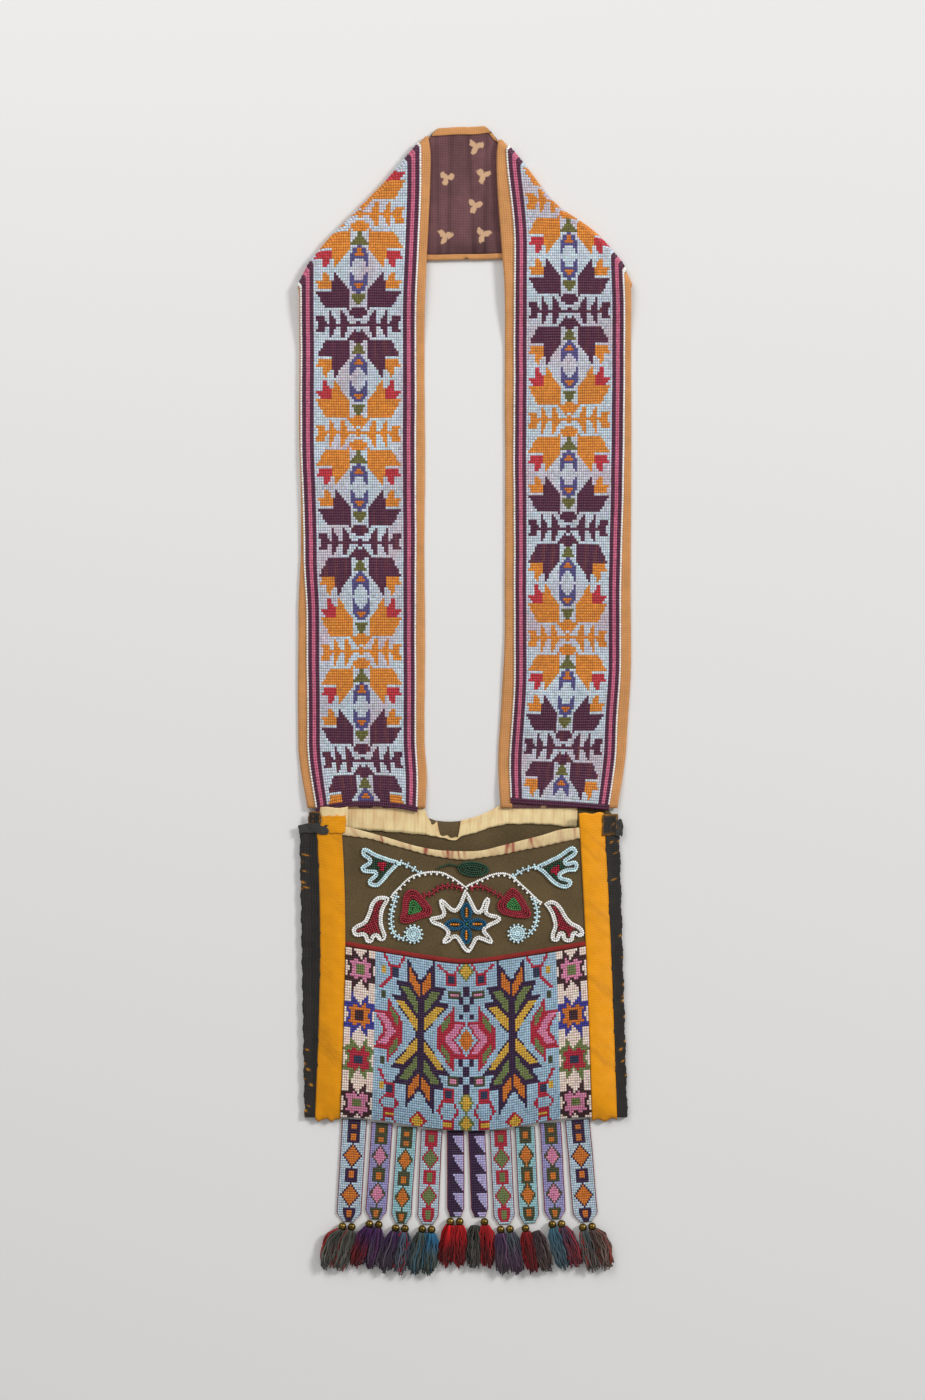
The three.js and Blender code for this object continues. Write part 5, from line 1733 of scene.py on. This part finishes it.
class BAG_OT_embroidery(Operator):
    """Couches the strings of beads on the wool front"""

    bl_idname = "bandolier.embroidery"
    bl_label = "Bead embroidery"

    def execute(self, context):
        colours = context.scene.bag_beads
        bead = context.scene.bag_sizes.string_bead / MM
        glass = glass_beads()
        self.couch_middle(colours, bead, glass)
        for side, word in SIDES:
            flower = BeadStrings(bead)
            outline = smooth_path(FLOWER[side], True)
            flower.rings(outline, colours.ice, 2)
            flower.fill(outline, 2.3, math.pi / 2, colours.fir, FLOWER_HEART[side], colours.crimson)
            flower.stem(FLOWER_STEM[side], 4.5, colours.ice)
            flower.build(f"{word}_flower_beads", glass, (f"{word}_flower",))

            tulip = BeadStrings(bead)
            outline = smooth_path(TULIP[side], True)
            tulip.rings(outline, colours.white, 2)
            tulip.fill(outline, 2.3, math.pi / 2 - 0.35 * side, colours.wine)
            tulip.build(f"{word}_tulip_beads", glass, (f"{word}_tulip",))

            heart = BeadStrings(bead)
            outline = smooth_path(HEART[side], True)
            heart.nest(outline, colours.wine, 4)
            heart.nest(mix(outline.mean(axis=0), outline, GREEN_SHARE), colours.grass, 4)
            heart.stem(HEART_STEM[side], 3.8, colours.wine)
            heart.build(f"{word}_heart_bud_beads", glass, (f"{word}_heart_bud",))

            rosette = BeadStrings(bead)
            x, y, radius = ROSETTE[side]
            wheel = ellipse(x, y, radius, radius, 0)
            rosette.nest(wheel, colours.ice, 4)
            rosette.picots(wheel, True, (-0.55,), 3.7, colours.ice)
            rosette.stem(TENDRIL[side], 3.7, colours.ice)
            rosette.build(f"{word}_rosette_beads", glass, (f"{word}_rosette",))
        return {"FINISHED"}

    def couch_middle(self, colours, bead, glass):
        """The star, its petals, the leaf and the vine."""
        star = BeadStrings(bead)
        star.rings(smooth_path(STAR_LOBES, True), colours.white, 2)
        star.build("star_border_beads", glass, ("star_border",))

        petals = BeadStrings(bead)
        for x, y, half_length, half_width, turn in PETALS:
            core = np.array([math.cos(turn), math.sin(turn)]) * PETAL_CORE
            spine = np.array([(x, y) - core, (x, y) + core])
            petals.line(spine, False, colours.orange)
            petals.nest(ellipse(x, y, half_length, half_width, turn, PETAL_POINT), colours.lake, 2)
        petals.add([HUB], [0], colours.grass)
        petals.line(ellipse(*HUB, HUB_RADIUS, HUB_RADIUS, 0), True, colours.lake)
        petals.build("star_petal_beads", glass, ("star_petals",))

        leaf = BeadStrings(bead)
        rim = ellipse(*LEAF)
        leaf.rings(rim, colours.fir, 3)
        leaf.fill(rim, 3.2, LEAF[4], colours.fir)
        leaf.line(smooth_path(LEAF_STEM, False), False, colours.fir)
        leaf.build("green_leaf_beads", glass, ("green_leaf",))

        vine = BeadStrings(bead)
        for points in VINE.values():
            vine.stem(points, 4.6, colours.white, (-1,))
        vine.build("white_vine_beads", glass, ("white_vine",))


# Tabs

TAB_BEAD = 1.65
TAB_ROW = 2.0
TAB_EDGE = 0.45
TAB_LEANS = (-3.4, -4.0, -3.4, -2.7, 0.0, 1.9, 2.7, 2.3, 3.2, 4.8)

# Tabs that begin with a single square; their rows, and heights of squares and lozenges in rows
SINGLE_TOP_SQUARE = (3, 6, 7)
TAB_SQUARES = {
    True: (41, ((3.6, 3.2), (20.7, 3.3), (36.9, 3.0)), (12.2, 28.8)),
    False: (44, ((5.2, 4.9), (23.8, 2.95), (41, 2.9)), (15.3, 32.4)),
}

# Half sizes and rims in beads of the squares, their hearts and a tall square's bar, and of the lozenges,
# whose half width is a share of the tab's
SQUARE_WIDE = 3.3
HEART_WIDE = 1.4
SQUARE_RIM = 1.4
BAR_TALL = 0.9
LOZENGE_SHARE = 0.37
LOZENGE_TALL = 5.8
LOZENGE_RIM = 1.3

# Stairs of the middle tabs: where they begin, their rows, the width of a stair's first row, and how much
# narrower each next row is
STAIR_START = 2.3
STAIR_ROWS = 8.0
STAIR_WIDE = 6.0
STAIR_STEP = 0.84

# Ground, squares, their hearts, lozenges and the lozenges' outlines, from the outer tabs to the middle
TAB_DESIGNS = (
    ("frost", "night", "amber", "amber", "night"),
    ("periwinkle", "bottle", "amber", "rose", "bottle"),
    ("turquoise", "bottle", "amber", "amber", "bottle"),
    ("frost", "crimson", "leaf", "leaf", "crimson"),
    ("night", "lavender", None, None, None),
)


def tab_layout():
    """Each tab's place, lean, width and length, and its design."""
    widths = TAB_WIDTHS + TAB_WIDTHS[::-1]
    lengths = TAB_LENGTHS + TAB_LENGTHS[::-1]
    left = -(sum(widths) + TAB_GAP * (len(widths) - 1)) / 2
    reach = field_at(-POUCH_HEIGHT)
    tabs = []
    for number, (width, long) in enumerate(zip(widths, lengths)):
        x = left + width / 2
        left += width + TAB_GAP
        lean = math.radians(TAB_LEANS[number])
        edges = bottom_at(np.array([x - width / 2, x, x + width / 2]) / reach)
        y = float(edges.min()) - CLEARANCE - abs(math.sin(lean)) * width / 2
        tabs.append((x, y, lean, width, long, min(number, len(widths) - 1 - number)))
    return tabs


def tab_bead_colours(colours, columns, rows, number, design):
    """A tab's squares and lozenges, or the stair-stepped triangles of the middle pair."""
    ground, square, square_heart, lozenge, outline = TAB_DESIGNS[design]
    column, row = bead_grid(columns, rows, 0)
    found = np.tile(np.array(getattr(colours, ground)), (column.size, 1))
    if square_heart is None:
        stair = (row - STAIR_START) % STAIR_ROWS
        from_right = columns / 2 - 1.5 - column
        steps = (from_right < STAIR_WIDE - STAIR_STEP * stair) & (row > STAIR_START)
        found[steps] = getattr(colours, square)
    else:
        single = number in SINGLE_TOP_SQUARE
        full_rows, squares, lozenges = TAB_SQUARES[single]
        scale = rows / full_rows
        wide = LOZENGE_SHARE * columns
        heart_tall = LOZENGE_TALL - LOZENGE_RIM
        shapes = []
        for y in lozenges:
            shapes.append((outline, diamond(0, y * scale, wide, LOZENGE_TALL * scale)))
            shapes.append((lozenge, diamond(0, y * scale, wide - LOZENGE_RIM, heart_tall * scale)))
        for y, tall in squares:
            shapes.append((square, box(0, y * scale, SQUARE_WIDE, tall * scale)))
            shapes.append((square_heart, box(0, y * scale, HEART_WIDE, (tall - SQUARE_RIM) * scale)))
        if not single:
            shapes.append((square, box(0, squares[0][0] * scale, SQUARE_WIDE, BAR_TALL)))
        fill_shapes(found, colours, shapes, column, row)
    edge = np.abs(column) > columns / 2 - 1
    found[edge] = colours.edge_thread
    return found


class BAG_OT_tabs(Operator):
    """Weaves the ten tabs"""

    bl_idname = "bandolier.tabs"
    bl_label = "Tabs"

    def execute(self, context):
        colours = context.scene.bag_beads
        glass = glass_beads()
        for number, (x, y, lean, width, long, design) in enumerate(tab_layout()):
            beads = round(width / TAB_BEAD)
            columns = beads + 2
            rows = round(long / TAB_ROW)
            pattern = tab_bead_colours(colours, columns, rows, number, design)

            def place(column, row, height):
                down = row / rows * long
                narrowing = ease(down, long - TAB_POINT, long) * (1 - TAB_TIP_WIDTH / width)
                inner = np.clip(column - 1, 0, beads)
                edges = np.minimum(column, 1) + np.maximum(column - beads - 1, 0)
                across = (inner + TAB_EDGE * edges) / (beads + 2 * TAB_EDGE) - 0.5
                across = across * (width - 0.4) * (1 - narrowing)
                across = across + 0.35 * waver(down * 0.06, across * 0.02, 71 + number)
                px = across * math.cos(lean) + down * math.sin(lean)
                py = across * math.sin(lean) - down * math.cos(lean)
                return in_frame(x + px, y + py, 0.1 + height)

            mesh, points = weave_beads(
                f"tab_{number + 1:02d}_beads", columns, rows, dyed(pattern, columns, rows, 81 + number),
                place, tuple(colours.thread), 91 + number,
            )
            add_piece(mesh, points, glass, (f"tab_{number + 1:02d}",))
        return {"FINISHED"}


# Tassels

# Colour of each tassel's yarn at its head, at its ends and in its streaks
TASSEL_YARNS = (
    ("#3d443f", "#515852", "#97302b"), ("#414842", "#4d544e", "#8c2f2b"), ("#36184a", "#561419", "#2c1638"),
    ("#35204c", "#3f3a48", "#4a2a55"), ("#33204a", "#3a3544", "#4e4a58"), ("#3d5266", "#46535e", "#8a2630"),
    ("#39443f", "#3c4d50", "#2d5565"), ("#1f5d80", "#3b4a45", "#2d4f60"), ("#b30f17", "#560e12", "#8e1219"),
    ("#9c1119", "#5c1015", "#7c1016"), ("#3d423d", "#464b46", "#30342f"), ("#981018", "#561014", "#7a1117"),
    ("#3a2a4a", "#413c44", "#55415e"), ("#3b4a52", "#3d3244", "#4a3a52"), ("#6a1117", "#4c1216", "#861820"),
    ("#423a3e", "#4a4440", "#2f2a30"), ("#2f5a6a", "#3d5560", "#40606c"), ("#3f3446", "#5a2a34", "#7e2c38"),
    ("#3a4a4a", "#4a4a46", "#8e2c2e"), ("#4c443e", "#5a524a", "#7c3a32"),
)
BARE_TASSELS = ("06a", "08b")
ARCHED_TASSELS = {0: 3.2, 19: -2.4}
STRAND_COUNT = 66
STRAND_RINGS = 8
STRAND_SIDES = 4

# How unlike the strands are: shares of the tassel's length and of its colour, and the share of streaks. In
# mm: how far their ends stray, how far they ripple, with the ripple's turns, and how much shorter the outer
# ones are.
STRAND_LENGTHS = (0.84, 1.02)
STRAND_TINTS = (0.65, 1.8)
STREAK_SHARE = 0.2
STRAND_SWAY = 0.9
STRAND_LIFT = 0.3
STRAND_RIPPLE = 0.75
RIPPLE_TURNS = (6, 18)
OUTER_SHORTER = 5.5

# Warm cast over all the yarn: shares of its red, green and blue
YARN_CAST = np.array([1.06, 0.84, 0.82])


def strand_mesh():
    """One strand of yarn: a thin tube of a few rings, one unit long and wide."""
    bm = bmesh.new()
    bmesh.ops.create_cone(bm, cap_ends=True, segments=STRAND_SIDES, radius1=1, radius2=1, depth=1)
    sides = [edge for edge in bm.edges if abs(edge.verts[0].co.z - edge.verts[1].co.z) > 0.5]
    bmesh.ops.subdivide_edges(bm, edges=sides, cuts=STRAND_RINGS - 1, use_grid_fill=False)
    return mesh_from(bm, "strand")


class BAG_OT_tassels(Operator):
    """Hangs the yarn tassels through their brass beads"""

    bl_idname = "bandolier.tassels"
    bl_label = "Tassels and brass beads"

    def execute(self, context):
        yarn = wool_yarn()
        brass = old_brass(context.scene.bag_cloth)
        thick = context.scene.bag_sizes.yarn / MM
        template = strand_mesh()
        count = 2 * len(tab_layout())
        for number, (x, y, lean, _, long, _) in enumerate(tab_layout()):
            tip_x = x + (long + CLEARANCE) * math.sin(lean)
            tip_y = y - (long + CLEARANCE) * math.cos(lean)
            for k, letter in enumerate("ab"):
                order = 2 * number + k
                label = f"{number + 1:02d}{letter}"
                hang_x = tip_x + (k - 0.5) * (BRASS_DIAMETER + 2 * CLEARANCE)
                end_x = (order - (count - 1) / 2) * TASSEL_SPREAD
                step = (k - 0.5) * 2 * abs(math.sin(lean)) * BRASS_DIAMETER * (1 if lean > 0 else -1)
                turn = math.atan2(end_x - hang_x, TASSEL_LENGTH + BRASS_DIAMETER)
                spot = (hang_x, tip_y + min(step, 0), turn)
                self.hang_yarn(label, spot, order, template, yarn, thick)
                if label not in BARE_TASSELS:
                    self.thread_bead(label, spot, brass)
        bpy.data.meshes.remove(template)
        return {"FINISHED"}

    def hang_yarn(self, label, spot, order, template, yarn, thick):
        """One tassel: loose strands that swell below the bead and thin out at their ends."""
        draw = np.random.default_rng(200 + order)
        bm = bmesh.new()
        for _ in range(STRAND_COUNT):
            bm.from_mesh(template)
        mesh = mesh_from(bm, f"tassel_{label}_yarn")
        flat = read(mesh.vertices, "co", 3).reshape(STRAND_COUNT, -1, 3)
        share = flat[:, :, 2] + 0.5
        angle = draw.uniform(0, 2 * math.pi, (STRAND_COUNT, 1))
        from_core = np.sqrt(draw.uniform(0.05, 1, (STRAND_COUNT, 1)))
        long = TASSEL_LENGTH * draw.uniform(*STRAND_LENGTHS, (STRAND_COUNT, 1))
        bulge = 0.5 + 0.5 * ease(share, 0, 0.24) - 0.16 * ease(share, 0.75, 1)
        sway = draw.normal(0, STRAND_SWAY, (STRAND_COUNT, 1)) * share ** 2
        lift = draw.normal(0, STRAND_LIFT, (STRAND_COUNT, 1)) * share ** 2
        half_width = TASSEL_WIDTH / 2 * 1.14
        half_height = TASSEL_HEIGHT / 2 - 0.3
        ripple = np.sin(share * draw.uniform(*RIPPLE_TURNS, (STRAND_COUNT, 1)) + angle * 3)
        ripple = STRAND_RIPPLE * ripple * ease(share, 0, 0.3)
        arch = ARCHED_TASSELS.get(order, 0.0) * np.sin(math.pi * share)
        x = half_width * bulge * from_core * np.cos(angle) + sway + ripple - arch + flat[:, :, 0] * thick / 2
        z = TASSEL_HEIGHT / 2 + half_height * np.sqrt(bulge) * from_core * np.sin(angle) + lift
        z = np.maximum(z + flat[:, :, 1] * thick / 2, 0.15)
        down = BRASS_DIAMETER - 0.8 + share * (long - OUTER_SHORTER * from_core ** 2)
        points = self.turned(spot, x.ravel(), down.ravel(), z.ravel())
        head, end, streak = (np.array(linear(code)) for code in TASSEL_YARNS[order])
        fade = ease(share, 0.1, 0.8)[:, :, None]
        shade = mix(head, end, fade)
        other = draw.uniform(0, 1, STRAND_COUNT) < STREAK_SHARE
        shade = np.where(other[:, None, None], streak, shade)
        tint = draw.uniform(*STRAND_TINTS, (STRAND_COUNT, 1))[:, :, None]
        per_vertex = shade * tint * YARN_CAST
        corner = read(mesh.loops, "vertex_index", 1, np.int32)
        paint(mesh, "yarn_colour", np.clip(per_vertex.reshape(-1, 3), 0, 1)[corner])
        add_piece(mesh, points, yarn, (f"tassel_{label}",))

    def thread_bead(self, label, spot, brass):
        """One brass bead: a ball with a hole through it, its rims rounded."""
        bm = bmesh.new()
        radius = BRASS_DIAMETER / 2 - 0.05
        bmesh.ops.create_uvsphere(bm, u_segments=18, v_segments=12, radius=radius)
        poles = [vert for vert in bm.verts if abs(vert.co.z) > 0.98 * radius]
        bmesh.ops.delete(bm, geom=poles, context="VERTS")
        rims = [edge for edge in bm.edges if edge.is_boundary]
        bmesh.ops.bridge_loops(bm, edges=rims)
        bmesh.ops.bevel(
            bm, geom=rims, offset=0.25, offset_type="OFFSET", affect="EDGES", segments=2, profile=0.5,
            material=-1,
        )
        bmesh.ops.recalc_face_normals(bm, faces=bm.faces)
        mesh = mesh_from(bm, f"brass_bead_{label}")
        flat = read(mesh.vertices, "co", 3)
        middle = BRASS_DIAMETER / 2
        points = self.turned(spot, flat[:, 0], middle - flat[:, 2], middle + flat[:, 1] + 0.1)
        add_piece(mesh, points, brass)

    def turned(self, spot, x, down, z):
        """Points beside and down from a hanging place, turned about it."""
        hang_x, hang_y, turn = spot
        return in_frame(
            hang_x + x * math.cos(turn) + down * math.sin(turn),
            hang_y + x * math.sin(turn) - down * math.cos(turn), z,
        )


# Stage

VIEW_CENTRE = (-3.0, 1.9)
FRAME_WIDTH = 925
FRAME_HEIGHT = 1400
FLOOR_HALF = 4.0
AMBIENT = 0.4

# Each lamp's power in watts, its size and its place in metres
LAMPS = {"key": (195.0, 1.2, (4.2, 2.4, 3.1)), "fill": (21.0, 1.5, (-0.9, 1.6, 1.6))}


class BAG_OT_stage(Operator):
    """Sets the pale floor, the soft light and the camera over the bag"""

    bl_idname = "bandolier.stage"
    bl_label = "Stage"

    def execute(self, context):
        cloth = context.scene.bag_cloth
        sizes = context.scene.bag_sizes
        bm = bmesh.new()
        bmesh.ops.create_grid(bm, x_segments=2, y_segments=2, size=FLOOR_HALF)
        mesh = mesh_from(bm, "floor")
        # Matt paper gives no glare, only soft shadows
        paper = new_material("matt_paper", {"Base Color": rgba(cloth.floor), "Roughness": 0.95})[0]
        mesh.materials.append(paper)
        floor = bpy.data.objects.new("floor", mesh)
        context.scene.collection.objects.link(floor)

        world = bpy.data.worlds.new("studio")
        world.use_nodes = True
        sky = world.node_tree.nodes["Background"]
        sky.inputs["Color"].default_value = (1, 1, 1, 1)
        sky.inputs["Strength"].default_value = AMBIENT
        context.scene.world = world
        for name, (energy, size, spot) in LAMPS.items():
            lamp = bpy.data.lights.new(name, "AREA")
            lamp.size = size
            lamp.energy = energy
            light = bpy.data.objects.new(name, lamp)
            light.location = spot
            light.rotation_euler = (-light.location).to_track_quat("-Z", "Y").to_euler()
            context.scene.collection.objects.link(light)

        view = bpy.data.cameras.new("camera")
        view.sensor_fit = "VERTICAL"
        view.sensor_height = 36.0
        view_height = sizes.view_width * FRAME_HEIGHT / FRAME_WIDTH
        view.lens = view.sensor_height * sizes.camera_height / view_height
        camera = bpy.data.objects.new("camera", view)
        camera.location = (VIEW_CENTRE[0] * MM, VIEW_CENTRE[1] * MM, sizes.camera_height)
        context.scene.collection.objects.link(camera)
        context.scene.camera = camera
        context.scene.view_settings.view_transform = "Standard"
        return {"FINISHED"}


class BAG_PT_panel(Panel):
    """Lists the steps that dress the bag"""

    bl_idname = "BAG_PT_panel"
    bl_label = "Bandolier bag"
    bl_space_type = "VIEW_3D"
    bl_region_type = "UI"
    bl_category = "Bandolier bag"

    def draw(self, context):
        for step in STEPS:
            self.layout.operator(step.bl_idname)
        for group in (context.scene.bag_sizes, context.scene.bag_beads, context.scene.bag_cloth):
            for name in group.bl_rna.properties.keys():
                if name not in ("rna_type", "name"):
                    self.layout.prop(group, name)


STEPS = (
    BAG_OT_strap_beads, BAG_OT_strap_cloth, BAG_OT_pouch_wool, BAG_OT_pouch_silk, BAG_OT_loom_panel,
    BAG_OT_embroidery, BAG_OT_tabs, BAG_OT_tassels, BAG_OT_stage,
)
GROUPS = {"bag_beads": BagBeadColours, "bag_cloth": BagClothColours, "bag_sizes": BagSizes}


def register():
    """Adds the steps, the panel and the settings."""
    for group in GROUPS.values():
        bpy.utils.register_class(group)
    for step in (*STEPS, BAG_PT_panel):
        bpy.utils.register_class(step)
    for name, group in GROUPS.items():
        setattr(bpy.types.Scene, name, PointerProperty(type=group))


def unregister():
    """Takes away what register adds."""
    for name in GROUPS:
        delattr(bpy.types.Scene, name)
    for step in (BAG_PT_panel, *STEPS[::-1]):
        bpy.utils.unregister_class(step)
    for group in GROUPS.values():
        bpy.utils.unregister_class(group)


def main():
    """Builds the bag and its stage."""
    register()
    bpy.ops.bandolier.stage()
    bpy.ops.bandolier.strap_beads()
    bpy.ops.bandolier.strap_cloth()
    bpy.ops.bandolier.pouch_wool()
    bpy.ops.bandolier.pouch_silk()
    bpy.ops.bandolier.loom_panel()
    bpy.ops.bandolier.embroidery()
    bpy.ops.bandolier.tabs()
    bpy.ops.bandolier.tassels()


if __name__ == "__main__":
    main()
